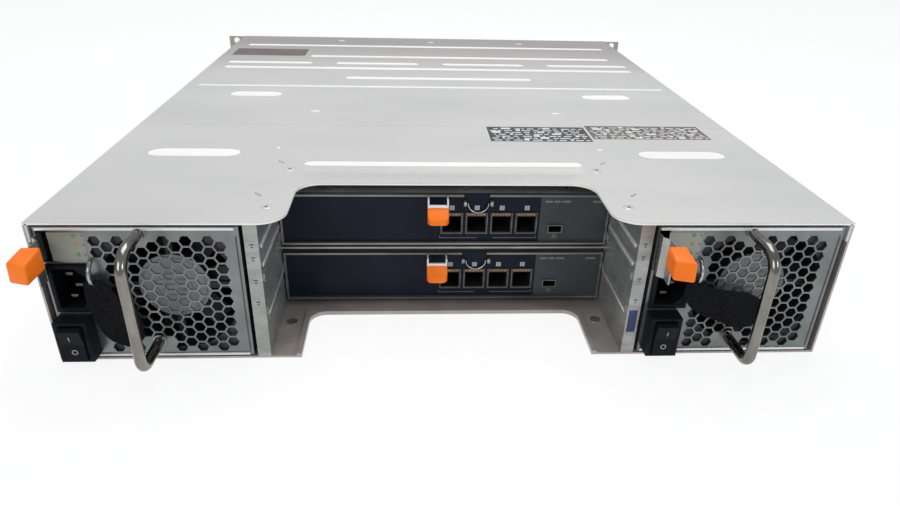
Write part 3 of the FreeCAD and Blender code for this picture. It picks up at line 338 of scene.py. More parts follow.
brass_dull = plain("brass_dull", (0.07, 0.066, 0.06), (0.14, 0.132, 0.12), 1.0, 0.35, bump=0.02)
grey_print = plain("grey_print", (0.13, 0.14, 0.14), (0.17, 0.18, 0.18), 0.0, 0.5, bump=0.02)
blue_tag = plain("blue_tag", (0.012, 0.022, 0.07), (0.025, 0.045, 0.13), 0.0, 0.45, bump=0.02)
lens_green = plain("lens_green", (0.06, 0.20, 0.08), (0.12, 0.30, 0.14), 0.0, 0.2, bump=0.02)
lens_amber = plain("lens_amber", (0.26, 0.22, 0.05), (0.36, 0.31, 0.08), 0.0, 0.2, bump=0.02)
hub_print = plain("hub_print", (0.19, 0.195, 0.198), (0.26, 0.265, 0.265), 0.0, 0.45, bump=0.05)
carrier_black = plain("carrier_black", (0.020, 0.020, 0.022), (0.035, 0.035, 0.038), 0.0, 0.45, bump=0.15)
lever_grey = plain("lever_grey", (0.09, 0.095, 0.10), (0.13, 0.135, 0.14), 0.1, 0.38, bump=0.1)

strap_black, tree = fresh("hook_and_loop")
cloth = node(tree, "ShaderNodeBsdfPrincipled", Roughness=0.95, Specular_IOR_Level=0.05, Sheen_Weight=0.02,
             Sheen_Roughness=0.4)
fuzz = grain(tree, (1, 1, 1), 1500, 3)
tree.links.new(ramp(tree, fuzz, (0.35, 0.003, 0.003, 0.004), (0.65, 0.016, 0.016, 0.019)),
               cloth.inputs["Base Color"])
loops = node(tree, "ShaderNodeBump", Strength=0.6, Distance=0.0004)
tree.links.new(fuzz, loops.inputs["Height"])
tree.links.new(loops.outputs["Normal"], cloth.inputs["Normal"])
show(tree, cloth.outputs["BSDF"])

# %% [markdown]
# ## Finishes that change along a piece
# One CAD node can carry two finishes, such as a supply's steel case with its black fan inside.
# A box test in Object coordinates tells them apart, so the mesh isn't touched.

# %% Supply case, module face, sockets and board
supply_skin = {}
for side in SIDES:
    material, tree = fresh("supply_%s_steel" % side)
    steel = skin(tree, (0.15, 0.165, 0.165), (0.23, 0.25, 0.245), 0.8, 0.3, (1, 1, 1), 50, 0.05, 600)
    fan = skin(tree, (0.010, 0.010, 0.011), (0.02, 0.02, 0.021), 0.0, 0.5)
    low = supply_spot(side, -52.5, 1.2, 3.2)
    high = supply_spot(side, 51.7, 30, 83.9)
    show(tree, over(tree, inside(tree, low, high), steel, fan))
    supply_skin[side] = material

module_skin = {}
for level in LEVELS:
    material, tree = fresh("module_%s_paint" % level)
    navy = skin(tree, (0.005, 0.007, 0.014), (0.009, 0.012, 0.022), 0.0, 0.4, scale=20, bump=0.03, shine=0.12)
    grey = skin(tree, (0.034, 0.042, 0.046), (0.050, 0.060, 0.064), 0.1, 0.4, scale=30, bump=0.05, shine=0.25)
    rim = skin(tree, (0.13, 0.13, 0.125), (0.27, 0.26, 0.25), 0.7, 0.3, (0.3, 2, 2), 60, 0.04)
    right = inside(tree, module_spot(level, 59.3, -5, -1), module_spot(level, 120, 5, 40))
    proud = inside(tree, module_spot(level, -120, -5, -1), module_spot(level, 120, -0.05, 40))
    show(tree, over(tree, proud, over(tree, right, navy, grey), rim))
    module_skin[level] = material

socket_steel, tree = fresh("socket_steel")
shell = skin(tree, (0.035, 0.034, 0.033), (0.07, 0.068, 0.065), 0.8, 0.35, scale=200, bump=0.04)
gloom = skin(tree, (0.006, 0.006, 0.008), (0.02, 0.018, 0.018), 0.2, 0.5, scale=200)
show(tree, over(tree, inside(tree, (None, MODULE_Y + FACE_PLATE, None), (None, None, None)), shell, gloom))
thin_rim = plain("socket_rim", (0.10, 0.10, 0.098), (0.17, 0.168, 0.16), 0.8, 0.35, scale=200, bump=0.04)

board_green = plain("board_green", (0.008, 0.045, 0.02), (0.014, 0.07, 0.03), 0.0, 0.35, scale=120, bump=0.1)


# %% Give the CAD nodes their finishes
def dress(name, material):
    """Put one material in all of a CAD node's slots."""
    piece = nodes[name]
    if not piece.material_slots:
        piece.data.materials.append(material)
    for slot in piece.material_slots:
        slot.material = material


for name, material in (("chassis_pan", pan_steel), ("rear_cover", lid_steel), ("front_cover", lid_steel),
                       ("bay_walls", wall_steel), ("module_shelf", wall_steel), ("midplane", board_green),
                       ("drive_cage", wall_steel), ("rack_ears", ear_steel)):
    dress(name, material)
for side in SIDES:
    stem = "supply_%s_" % side
    for name, material in (("case", supply_skin[side]), ("fan_rotor", fan_black), ("inlet", black_plastic),
                           ("switch_housing", black_plastic), ("rocker", black_plastic),
                           ("handle", bar_chrome),
                           ("latch_spring", leaf_steel), ("latch_tab", orange_plastic),
                           ("strap", strap_black)):
        dress(stem + name, material)
for level in LEVELS:
    stem = "module_%s_" % level
    for name, material in (("tray", wall_steel), ("face", module_skin[level]), ("ports", socket_steel),
                           ("latch", orange_plastic), ("ring", wire_chrome)):
        dress(stem + name, material)
for number in range(1, 13):
    dress("drive_carrier_%d" % number, carrier_black)
    dress("carrier_lever_%d" % number, lever_grey)

# %% [markdown]
# ## Helpers for modelling
# Each new piece starts from a primitive at its size and place, is shaped in edit mode, and ends
# with its transform applied, so that its object sits at the origin as a CAD node's does.


# %% Modelling helpers
def only(piece):
    """Select one piece and nothing else."""
    bpy.ops.object.select_all(action="DESELECT")
    piece.select_set(True)
    bpy.context.view_layer.objects.active = piece


def settle(name):
    """Name the piece just added and apply its transform."""
    piece = bpy.context.object
    only(piece)
    piece.name = name
    piece.data.name = name
    bpy.ops.object.transform_apply(location=True, rotation=True, scale=True)
    return piece


def block(name, low, high):
    """A box between two corners, as the start of a piece."""
    low, high = Vector(low), Vector(high)
    bpy.ops.object.select_all(action="DESELECT")
    bpy.ops.mesh.primitive_cube_add(size=1, location=(low + high) / 2, scale=high - low)
    return settle(name)


FACING = {"rear": (math.pi / 2, 0, 0), "up": (0, 0, 0), "side": (0, math.pi / 2, 0)}


def drum(name, place, radius, depth, facing="rear", sides=32):
    """A short cylinder centred on a place, its axis along the way it faces."""
    bpy.ops.object.select_all(action="DESELECT")
    bpy.ops.mesh.primitive_cylinder_add(vertices=sides, radius=radius, depth=depth, location=place,
                                        rotation=FACING[facing])
    return settle(name)


def pick(piece, kind, test):
    """Enter edit mode with only the faces, edges or points that pass a test selected."""
    only(piece)
    bpy.context.tool_settings.mesh_select_mode = (kind == "VERT", kind == "EDGE", kind == "FACE")
    mesh = piece.data
    for item in list(mesh.vertices) + list(mesh.edges) + list(mesh.polygons):
        item.select = False
    if kind == "FACE":
        for item in mesh.polygons:
            item.select = test(item.center, item.normal)
    if kind == "EDGE":
        for item in mesh.edges:
            item.select = test(*(mesh.vertices[index].co for index in item.vertices))
    if kind == "VERT":
        for item in mesh.vertices:
            item.select = test(item.co)
    bpy.ops.object.mode_set(mode="EDIT")


def done():
    bpy.ops.object.mode_set(mode="OBJECT")


def soften(piece, width, segments=2, angle=30, smooth=40):
    """Bevel the edges that are sharper than one angle and shade smooth those below the other."""
    only(piece)
    bevel = piece.modifiers.new("bevel", "BEVEL")
    bevel.width = width
    bevel.segments = segments
    bevel.limit_method = "ANGLE"
    bevel.angle_limit = math.radians(angle)
    bpy.ops.object.modifier_apply(modifier=bevel.name)
    bpy.ops.object.shade_smooth_by_angle(angle=math.radians(smooth))
    return piece


def carve(piece, cutter):
    """Take one shape away from another."""
    only(piece)
    knife = piece.modifiers.new("carve", "BOOLEAN")
    knife.operation = "DIFFERENCE"
    knife.solver = "EXACT"
    knife.object = cutter
    bpy.ops.object.modifier_apply(modifier=knife.name)
    bpy.data.objects.remove(cutter)
    return piece


def together(name, pieces):
    """Join several shapes into one piece."""
    bpy.ops.object.select_all(action="DESELECT")
    for piece in pieces:
        piece.select_set(True)
    bpy.context.view_layer.objects.active = pieces[0]
    if len(pieces) > 1:
        bpy.ops.object.join()
    made = bpy.context.object
    made.name = name
    return made


def mount(piece, body, material, stands_for=()):
    """Give a finished piece its material and the body it rides on, and hide the nodes it stands for."""
    piece.data.materials.clear()
    piece.data.materials.append(material)
    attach(piece, body)
    if stands_for:
        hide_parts(*stands_for)
    return piece


def words(name, text, size, place, facing="rear", depth=0.04 * MM):
    """A printed mark: text made a thin mesh and set in its place."""
    bpy.ops.object.select_all(action="DESELECT")
    bpy.ops.object.text_add(location=(0, 0, 0))
    mark = bpy.context.object
    mark.data.body = text
    mark.data.size = size
    mark.data.extrude = depth
    mark.data.align_x = "CENTER"
    mark.data.align_y = "CENTER"
    bpy.ops.object.convert(target="MESH")
    mark = bpy.context.object
    mark.location = place
    mark.rotation_euler = FACING[facing]
    return settle(name)


# %% [markdown]
# ## The lid
# The lid is folded sheet with shapes pressed into it. A plate is cut with rounded cutters: the bite
# over the module bay first, then each shallow pressing, whose cutter narrows towards its floor so
# that the wall slopes as pressed steel does.


# %% Lid helpers
def rounded_cutter(low, high, radius, floor_shrink=0.0, segments=8):
    """A box with rounded upright edges, drawn in at its floor."""
    cutter = block("cutter", low, high)
    pick(cutter, "EDGE", lambda a, b: abs(a.z - b.z) > 1e-6)
    bpy.ops.mesh.bevel(offset=radius, segments=segments, affect="EDGES")
    done()
    if floor_shrink:
        size = Vector(high) - Vector(low)
        pick(cutter, "VERT", lambda spot: spot.z < low[2] + 1e-6)
        shrink = (1 - 2 * floor_shrink / size.x, 1 - 2 * floor_shrink / size.y, 1)
        heart = (Vector(low) + Vector(high)) / 2
        bpy.ops.transform.resize(value=shrink, center_override=(heart.x, heart.y, low[2]))
        done()
    return cutter


def press(plate, x_low, x_high, near, width, depth=0.6):
    """Press a hollow with pointed ends into a plate; sizes in millimetres."""
    low = rear_spot(x_low, near, 0)
    high = rear_spot(x_high, near + width, 0)
    low.z = TOP - depth * MM
    high.z = TOP + 1 * MM
    carve(plate, rounded_cutter(low, high, width * 0.49 * MM, 0.9 * MM, 2))


BITE_HALF = 89.5
BITE_DEPTH = 56.3
BITE_ROUND = 14
MOUTH_ROUND = 15
SEAM = (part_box("rear_cover")[1].y - REAR) / MM

# %% Rear lid
rear_lid = block("lid_rear", (-WIDE / 2, REAR, TOP - SHEET), (WIDE / 2, REAR + SEAM * MM, TOP))
bite_low = rear_spot(-BITE_HALF, -20, 0)
bite_high = rear_spot(BITE_HALF, BITE_DEPTH, 0)
bite_low.z, bite_high.z = TOP - 5 * MM, TOP + 5 * MM
carve(rear_lid, rounded_cutter(bite_low, bite_high, BITE_ROUND * MM))
pick(rear_lid, "EDGE", lambda a, b: (abs(a.z - b.z) > 1e-6 and abs(abs(a.x) - BITE_HALF * MM) < 1e-5
                                     and abs(b.y - REAR) < 1e-5))
bpy.ops.mesh.bevel(offset=MOUTH_ROUND * MM, segments=10, affect="EDGES")
done()
for shape in ((-197, -134.5, 103, 16.5), (134.5, 197, 103, 16.5), (-91.5, 92, 86, 10),
              (-93, 94, 71, 14, 0.2)):
    press(rear_lid, *shape)
soften(rear_lid, 0.3 * MM, 2, 50, 15)
skirts = [block("skirt", (sign * (WIDE / 2 - 2 * SHEET), REAR, TOP - SHEET - 10 * MM),
                (sign * (WIDE / 2 - SHEET), REAR + SEAM * MM, TOP - SHEET * 0.5)) for sign in (-1, 1)]
mount(together("lid_rear", [rear_lid] + skirts), "chassis", lid_steel, ["rear_cover"])

# %% Front lid
front_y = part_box("front_cover")[1].y
seam_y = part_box("front_cover")[0].y
front_lid = block("lid_front", (-WIDE / 2, seam_y, TOP - SHEET), (WIDE / 2, front_y, TOP))
column_step = (WIDE - 4 * SHEET) / 4 / MM
ribs = [(-178, -132, 256, 16.5), (130, 175, 256, 16.5), (-84, 97, 322, 11), (-208, 208, 363, 11),
        (-130, 199, 420, 11), (-208, 208, 479, 11)]
rib_middles = [column_step * (column - 1.5) for column in range(4)]
ribs += [(rib - 44, rib + 44, 386, 11) for rib in rib_middles]
for shape in ribs:
    press(front_lid, *shape)
soften(front_lid, 0.3 * MM, 2, 50, 15)
skirts = [block("skirt", (sign * (WIDE / 2 - 2 * SHEET), seam_y, TOP - SHEET - 10 * MM),
                (sign * (WIDE / 2 - SHEET), front_y - 14 * MM, TOP - SHEET * 0.5)) for sign in (-1, 1)]
mount(together("lid_front", [front_lid] + skirts), "chassis", lid_steel, ["front_cover"])
print("lid pieces made")

# %% [markdown]
# ## Bent steel handles
# A round bar is a circle that is drawn out, spun round each bend and drawn out again.
# The spin keeps the bar's thickness the same all the way round, as a bending tool does.


# %% Handles
def bent_bar(name, side):
    """D handle: 6 mm bar, feet on the supply's face."""
    x, top, bottom, reach, bend, low_bend = 0.6, 81.0, 12.8, 28.5, 12.0, 7.0
    foot = supply_spot(side, x, 0, top)
    bpy.ops.object.select_all(action="DESELECT")
    bpy.ops.mesh.primitive_circle_add(vertices=28, radius=3 * MM, location=foot, rotation=(math.pi / 2, 0, 0),
                                      fill_type="NGON")
    bar = settle(name)
    pick(bar, "FACE", lambda centre, normal: True)
    straight = (reach - bend) * MM
    bpy.ops.mesh.extrude_region_move(TRANSFORM_OT_translate={"value": (0, -straight, 0)})
    upper = foot + Vector((0, -straight, -bend * MM))
    bpy.ops.mesh.spin(steps=12, angle=-math.pi / 2, center=upper, axis=(1, 0, 0))
    bpy.ops.mesh.extrude_region_move(
        TRANSFORM_OT_translate={"value": (0, 0, -(top - bottom - bend - low_bend) * MM)})
    lower = Vector((foot.x, REAR - (reach - low_bend) * MM, (bottom + low_bend) * MM))
    bpy.ops.mesh.spin(steps=12, angle=-math.pi / 2, center=lower, axis=(1, 0, 0))
    bpy.ops.mesh.extrude_region_move(TRANSFORM_OT_translate={"value": (0, (reach - low_bend) * MM, 0)})
    bpy.ops.mesh.select_all(action="SELECT")
    bpy.ops.mesh.remove_doubles(threshold=1e-6)
    bpy.ops.mesh.normals_make_consistent(inside=False)
    done()
    bpy.ops.object.shade_smooth_by_angle(angle=math.radians(40))
    return bar


for side in SIDES:
    bar = bent_bar("supply_%s_bar" % side, side)
    mount(bar, "supply_" + side, bar_chrome, ["supply_%s_handle" % side])
    low = min(corner.co.y for corner in bar.data.vertices)
    print("handle reaches", round((REAR - low) / MM, 1), "mm")
    collars = []
    for height in (81.0, 12.8):
        collar = drum("collar", supply_spot(side, 0.6, -0.25, height), 3.9 * MM, 0.6 * MM, sides=24)
        collars.append(soften(collar, 0.2 * MM))
    mount(together("supply_%s_bar_collars" % side, collars), "supply_" + side, bar_chrome)

# %% [markdown]
# ## Thumb tabs of the supply latches
# The tab is soft-edged plastic moulded on the end of a leaf spring: a box whose outer end is
# slanted in edit mode, then rounded.

# %% Orange tabs
for side in SIDES:
    low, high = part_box("supply_%s_latch_tab" % side)
    tab = block("supply_%s_thumb_tab" % side, low + Vector((0.6, -0.6, -0.6)) * MM,
                high - Vector((0.4, 0, 0)) * MM)
    pick(tab, "VERT", lambda spot: spot.y < low.y + 1 * MM and spot.x < low.x + 2 * MM)
    bpy.ops.transform.translate(value=(-0.9 * MM, 3.2 * MM, 0))
    done()
    pick(tab, "VERT", lambda spot: spot.y < low.y + 6 * MM and spot.z > high.z - 1 * MM)
    bpy.ops.transform.translate(value=(0, 1.2 * MM, -1.6 * MM))
    done()
    soften(tab, 1.5 * MM, 4, 20)
    mount(tab, "supply_%s_latch" % side, orange_plastic, ["supply_%s_latch_tab" % side])

# %% [markdown]
# ## Faces of the power supplies
# Thin bright strips run along the top and bottom edges, lamps sit on a silver plate at the upper
# left, and a pale hub disc shows through the honeycomb.

# %% Supply face details
for side in SIDES:
    body = "supply_" + side
    case_low, case_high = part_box("supply_%s_case" % side)
    strips = []
    for height in (case_low.z / MM + 0.9, case_high.z / MM - 1.1):
        strip = block("strip", supply_spot(side, -51.5, -0.9, height - 0.8),
                      supply_spot(side, 50.5, 0.0, height + 0.8))
        strips.append(soften(strip, 0.35 * MM))
    mount(together("supply_%s_edge_strips" % side, strips), body, bright_strip)
    groove = block("supply_%s_groove" % side, supply_spot(side, 50.4, -0.25, 5),
                   supply_spot(side, 51.1, 0.0, 79))
    mount(soften(groove, 0.08 * MM, 1), body, dark_print)
    plate = block("supply_%s_lamp_plate" % side, supply_spot(side, -46.2, -0.2, 64.6),
                  supply_spot(side, -27.5, 0.0, 81.4))
    mount(soften(plate, 0.1 * MM, 1), body, lamp_silver)
    lenses = {"green": [], "amber": []}
    for height, tint in ((79.6, "green"), (74.0, "amber"), (68.4, "green")):
        lens = drum("lens", supply_spot(side, -32.4, -0.25, height), 1.1 * MM, 0.6 * MM, sides=20)
        lenses[tint].append(soften(lens, 0.2 * MM, 3))
        rim = words("supply_%s_lamp_mark" % side, "o", 2.4 * MM,
                    supply_spot(side, -28.6, -0.26, height + 0.2))
        mount(rim, body, dark_print)
    mount(together("supply_%s_lamps_green" % side, lenses["green"]), body, lens_green)
    mount(together("supply_%s_lamp_amber" % side, lenses["amber"]), body, lens_amber)
    hub = drum("supply_%s_hub_plate" % side, supply_spot(side, 11.4, 8.4, 44.3), 19.6 * MM, 0.5 * MM,
               sides=64)
    mount(soften(hub, 0.15 * MM, 2), body, hub_print)
    rings = []
    for radius in (17.6, 9.5):
        bpy.ops.object.select_all(action="DESELECT")
        bpy.ops.mesh.primitive_torus_add(major_radius=radius * MM, minor_radius=0.16 * MM, major_segments=64,
                                         minor_segments=6, location=supply_spot(side, 11.4, 8.1, 44.3),
                                         rotation=(math.pi / 2, 0, 0))
        rings.append(settle("ring"))
    for line in range(5):
        half = (5.5, 7.5, 8.0, 7.0, 4.5)[line]
        z = 51.5 - line * 3.4
        rings.append(block("bar", supply_spot(side, 11.4 - half, 8.02, z),
                           supply_spot(side, 11.4 + half, 8.2, z + 0.9)))
    mount(together("supply_%s_hub_marks" % side, rings), body, grey_print)

# %% Wire anchors for the straps
for side in SIDES:
    bpy.ops.object.select_all(action="DESELECT")
    bpy.ops.mesh.primitive_torus_add(major_radius=7.5 * MM, minor_radius=0.95 * MM, major_segments=40,
                                     minor_segments=12, location=supply_spot(side, -26.4, 0.5, 58),
                                     rotation=(0, math.pi / 2, 0))
    hoop = settle("supply_%s_anchor" % side)
    pick(hoop, "FACE", lambda centre, normal: True)
    bpy.ops.mesh.bisect(plane_co=supply_spot(side, 0, 0.2, 58), plane_no=(0, 1, 0), clear_outer=True,
                        use_fill=True)
    done()
    bpy.ops.object.shade_smooth_by_angle(angle=math.radians(40))
    mount(hoop, "supply_" + side, wire_chrome)

# %% [markdown]
# ## Mains inlets and switches
# The socket's three blades are plated brass, and the rocker carries the usual I and O.

# %% Inlet blades, rims and switch marks
for side in SIDES:
    body = "supply_" + side
    blades = []
    inlet_x, inlet_z = -50.9 + 11, 33 + 14.9
    for across, up in ((2, 0), (-2, 7), (-2, -7)):
        centre = supply_spot(side, inlet_x + across, 0, inlet_z + up)
        blade = block("blade", centre + Vector((-2.05, 3.2, -1.05)) * MM,
                      centre + Vector((2.05, 15.5, 1.05)) * MM)
        blades.append(soften(blade, 0.4 * MM))
    mount(together("supply_%s_inlet_blades" % side, blades), body, brass_dull)
    frame_low = supply_spot(side, -50.7, -1.7, 33.2)
    frame_high = supply_spot(side, -29.1, -1.1, 62.6)
    rim = block("supply_%s_inlet_rim" % side, frame_low, frame_high)
    hole = rounded_cutter(frame_low + Vector((2.4, -1, 2.4)) * MM,
                          frame_high + Vector((-2.4, 1, -2.4)) * MM, 0.4 * MM)
    carve(rim, hole)
    mount(soften(rim, 0.25 * MM), body, black_plastic)
    low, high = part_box("supply_%s_switch_housing" % side)
    rim = block("supply_%s_switch_rim" % side, Vector((low.x, low.y - 0.6 * MM, low.z)),
                Vector((high.x, low.y + 0.4 * MM, high.z)))
    hole = rounded_cutter(Vector((low.x + 2.7 * MM, low.y - 2 * MM, low.z + 1.8 * MM)),
                          Vector((high.x - 2.7 * MM, low.y + 2 * MM, high.z - 1.8 * MM)), 0.4 * MM)
    carve(rim, hole)
    mount(soften(rim, 0.3 * MM), body, black_plastic)

# %% Rocker marks
for side in SIDES:
    rocker_low, rocker_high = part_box("supply_%s_rocker" % side)
    heart = (rocker_low + rocker_high) / 2
    for text, rise in (("I", 5.2), ("O", -5.2)):
        lean = math.radians(90 + 7 + (6.5 if rise > 0 else -8.0))
        mark = words("supply_%s_rocker_%s" % (side, text), text, 4.4 * MM, (0, 0, 0), "up", 0.05 * MM)
        mark.rotation_euler = (lean, 0, 0)
        face = nodes["supply_%s_rocker" % side].data
        height = heart.z + rise * MM
        near = min(v.co.y for v in face.vertices if (v.co.z - height) * rise > -6 * MM * abs(rise))
        mark.location = Vector((heart.x, near, height))
        only(mark)
        bpy.ops.object.transform_apply(location=True, rotation=True, scale=True)
        mount(mark, "supply_%s_rocker" % side, pale_print)
        print(mark.name, "at", [round(c, 4) for c in heart], "near", round(near, 4))

# %% [markdown]
# ## Module faces
# Each I/O module has a thumb grip hung on a steel bracket, a pull ring between two bright eyelets,
# four cable sockets with plated finger strips, and pale numbers above them.


# %% Module grips
def thumb_grip(level):
    """Orange grip: a sloped thumb rest with a rounded lip, hung on a wire bracket."""
    stem = "module_%s" % level
    low = module_spot(level, -11.9, -16.0, 19.4)
    high = module_spot(level, 1.1, -7.8, 28.6)
    grip = block(stem + "_thumb_grip", low, high)
    pick(grip, "VERT", lambda spot: spot.y < low.y + 1 * MM and spot.z > high.z - 1 * MM)
    bpy.ops.transform.translate(value=(0, 0, -5.8 * MM))
    done()
    pick(grip, "VERT", lambda spot: spot.y > high.y - 1 * MM and spot.z < low.z + 1 * MM)
    bpy.ops.transform.translate(value=(0, -3.5 * MM, 0))
    done()
    pick(grip, "EDGE", lambda a, b: max(a.y, b.y) < low.y + 1 * MM and abs(a.z - b.z) > 1 * MM)
    bpy.ops.mesh.bevel(offset=3.6 * MM, segments=6, affect="EDGES")
    done()
    soften(grip, 0.6 * MM, 3, 25)
    bars = []
    for x in (-11.3, 0.5):
        bars.append(block("wire", module_spot(level, x - 0.55, -8.8, 27.6),
                          module_spot(level, x + 0.55, -7.7, 33.3)))
    bars.append(block("wire", module_spot(level, -11.8, -9.0, 28.0), module_spot(level, 1.0, -7.6, 29.9)))
    bars.append(block("wire", module_spot(level, -11.8, -8.8, 32.4), module_spot(level, -10.7, -2.7, 33.3)))
    bars.append(block("wire", module_spot(level, -0.1, -8.8, 32.4), module_spot(level, 1.0, -2.7, 33.3)))
    for item in bars:
        soften(item, 0.3 * MM)
    bracket = together(stem + "_grip_bracket", bars)
    mount(grip, stem + "_latch", orange_plastic, [stem + "_latch"])
    mount(bracket, stem + "_latch", bright_strip)


# %% Module sockets, rings and marks
PORT_X = [3.6 + 15.7 * index for index in range(4)]
for level in LEVELS:
    stem = "module_%s" % level
    thumb_grip(level)
    bpy.ops.object.select_all(action="DESELECT")
    bpy.ops.mesh.primitive_torus_add(major_radius=6.4 * MM, minor_radius=0.42 * MM, major_segments=40,
                                     minor_segments=10, location=module_spot(level, 19.9, -1.5, 28.2),
                                     rotation=(math.pi / 2, 0, 0))
    ring = settle(stem + "_pull_ring")
    pick(ring, "FACE", lambda centre, normal: True)
    bpy.ops.mesh.bisect(plane_co=module_spot(level, 0, 0, 28.2), plane_no=(0, 0, 1), clear_outer=True,
                        use_fill=True)
    done()
    bpy.ops.object.shade_smooth_by_angle(angle=math.radians(40))
    mount(ring, stem + "_ring", wire_chrome, [stem + "_ring"])
    eyes = []
    for sign in (-1, 1):
        bpy.ops.object.select_all(action="DESELECT")
        bpy.ops.mesh.primitive_uv_sphere_add(segments=16, ring_count=10, radius=1.3 * MM,
                                             location=module_spot(level, 19.9 + sign * 8.2, -2.0, 28.2))
        eyes.append(settle("eye"))
        bpy.ops.object.shade_smooth_by_angle(angle=math.radians(60))
    mount(together(stem + "_eyelets", eyes), stem, wire_chrome)
    rims = []
    fingers = []
    plates = []
    for index, x in enumerate(PORT_X):
        rim = block("rim", module_spot(level, x - 6.9, -0.9, 6.9), module_spot(level, x + 6.9, -0.3, 21.4))
        hole = rounded_cutter(module_spot(level, x - 6.35, -3, 7.45),
                              module_spot(level, x + 6.35, 3, 20.85), 0.3 * MM)
        rims.append(soften(carve(rim, hole), 0.2 * MM))
        for tooth in range(6):
            left = x - 5.8 + tooth * 1.95
            fingers.append(block("finger", module_spot(level, left, -1.0, 19.7),
                                 module_spot(level, left + 1.4, -0.6, 20.9)))
        plates.append(block("plate", module_spot(level, x - 1.5, -0.12, 23.0),
                            module_spot(level, x + 1.5, 0.0, 26.0)))
        digit = words(stem + "_number_%d" % index, str(index), 2.6 * MM, module_spot(level, x, -0.14, 24.5))
        mount(digit, stem, dark_print)
    mount(together(stem + "_socket_rims", rims), stem, thin_rim)
    mount(together(stem + "_finger_strips", fingers), stem, gold_finger)
    mount(together(stem + "_number_plates", plates), stem, pale_print)
    lines = [block("line", module_spot(level, x0, -0.1, 3.6), module_spot(level, x1, 0.0, 3.9))
             for x0, x1 in ((-4, 20), (30, 58))]
    for x in (-4, 57.7):
        lines.append(block("line", module_spot(level, x, -0.1, 3.6), module_spot(level, x + 0.3, 0.0, 5.2)))
    mount(together(stem + "_bracket_lines", lines), stem, grey_print)
    shell = block(stem + "_service_rim", module_spot(level, 64.6, -1.0, 7.2),
                  module_spot(level, 74.4, -0.4, 13.2))
    hole = rounded_cutter(module_spot(level, 65.5, -3, 8.1), module_spot(level, 73.5, 3, 12.3), 0.3 * MM)
    mount(soften(carve(shell, hole), 0.2 * MM), stem, thin_rim)
    marks = [block("mark", module_spot(level, x0, -0.1, 28.2), module_spot(level, x1, 0.0, 29.4))
             for x0, x1 in ((62, 66.5), (67.5, 71.5), (72.5, 78), (92, 98.5))]
    marks += [block("mark", module_spot(level, x, -0.1, 3.6), module_spot(level, x + 0.5, 0.0, 6.2))
              for x in (68.2, 69.4, 70.6)]
    mount(together(stem + "_plate_marks", marks), stem, grey_print)
print("module faces dressed")

# %% [markdown]
# ## Hook-and-loop straps
# Each supply has a cord strap looped through its wire anchor. A flat grid is laid along the strap's
# path by moving its points in code, given thickness, and smoothed.


# %% Straps
def along_path(path, share):
    """Point on a smooth curve through a path's points; share runs from 0 to 1."""
    reach = share * (len(path) - 1)
    first = min(int(reach), len(path) - 2)
    t = reach - first
    before, start, end, after = (path[min(max(first + step, 0), len(path) - 1)] for step in (-1, 0, 1, 2))
    return [0.5 * (2 * b + (c - a) * t + (2 * a - 5 * b + 4 * c - d) * t ** 2
                    + (3 * b - a - 3 * c + d) * t ** 3)
            for a, b, c, d in zip(before, start, end, after)]


def ribbon(name, side, path):
    """A band of cloth along a path of (x, z, depth, width) points, in millimetres on the supply's face."""
    bpy.ops.object.select_all(action="DESELECT")
    bpy.ops.mesh.primitive_grid_add(x_subdivisions=56, y_subdivisions=8, size=1)
    band = settle(name)
    for point in band.data.vertices:
        share, across = point.co.x + 0.5, point.co.y
        x, z, depth, width = along_path(path, share)
        ahead, behind = along_path(path, min(share + 0.01, 1)), along_path(path, max(share - 0.01, 0))
        direction = Vector((ahead[0] - behind[0], ahead[1] - behind[1])).normalized()
        wave = 0.7 * math.sin(share * 14 + across * 4)
        point.co = supply_spot(side, x - direction.y * across * width, -depth - wave,
                               z + direction.x * across * width)
    only(band)
    thickener = band.modifiers.new("thickness", "SOLIDIFY")
    thickener.thickness = STRAP_THICK
    thickener.offset = 0
    bpy.ops.object.modifier_apply(modifier=thickener.name)
    pick(band, "FACE", lambda centre, normal: True)
    bpy.ops.mesh.remove_doubles(threshold=1e-7)
    bpy.ops.mesh.normals_make_consistent(inside=False)
    done()
    bpy.ops.object.shade_smooth_by_angle(angle=math.radians(60))
    return band


STRAP_THICK = 1.1 * MM
HANGING = [(-26.4, 55, 4.4, 9), (-25, 47, 4.6, 14), (-21, 37, 4.8, 20), (-17, 28, 5.0, 23),
           (-12, 20.5, 5.0, 19),
           (-7, 16.5, 4.8, 9)]
LEVEL = [(-26.4, 53, 4.4, 9), (-26, 45, 4.6, 14), (-18, 39.5, 4.9, 18), (-7, 36.5, 5.0, 21),
         (3, 33.5, 5.0, 22),
         (12, 32, 4.9, 17), (17, 31.5, 4.8, 8)]
for side, path in (("left", HANGING), ("right", LEVEL)):
    band = ribbon("supply_%s_cord_strap" % side, side, path)
    mount(band, "supply_" + side, strap_black, ["supply_%s_strap" % side])

# %% [markdown]
# ## Marks and fasteners on the lid
# Flush screws have small recesses, shown as thin grey hexagons of painted shade; two printed labels lie near
# the seam, and small bumps, stamps and one long ridge stand a little proud, the bumps and the ridge painted
# near white as a painted highlight. The labels carry plain bars in place of words.

# %% Screws, bumps and ridge
def on_lid(x, depth):
    """A place on the lid's top face."""
    place = rear_spot(x, depth, 0)
    place.z = TOP
    return place


SCREWS = [(-98, 79.6), (98, 79.6), (-102, 21), (102, 21)]
heads, recess_shades = [], []
for x, depth in SCREWS:
    heads.append(soften(drum("screw", on_lid(x, depth), 3.3 * MM, 0.5 * MM, "up", 28), 0.15 * MM))
    # Each recess is a thin grey hexagon on the head: painted shade for the hollow.
    recess_shades.append(drum("recess", on_lid(x, depth) + Vector((0, 0, 0.25 * MM)), 1.2 * MM, 0.1 * MM, "up", 6))
mount(together("lid_screws", heads), "chassis", bright_strip)
mount(together("lid_screw_recess_shades", recess_shades), "chassis", grey_print)

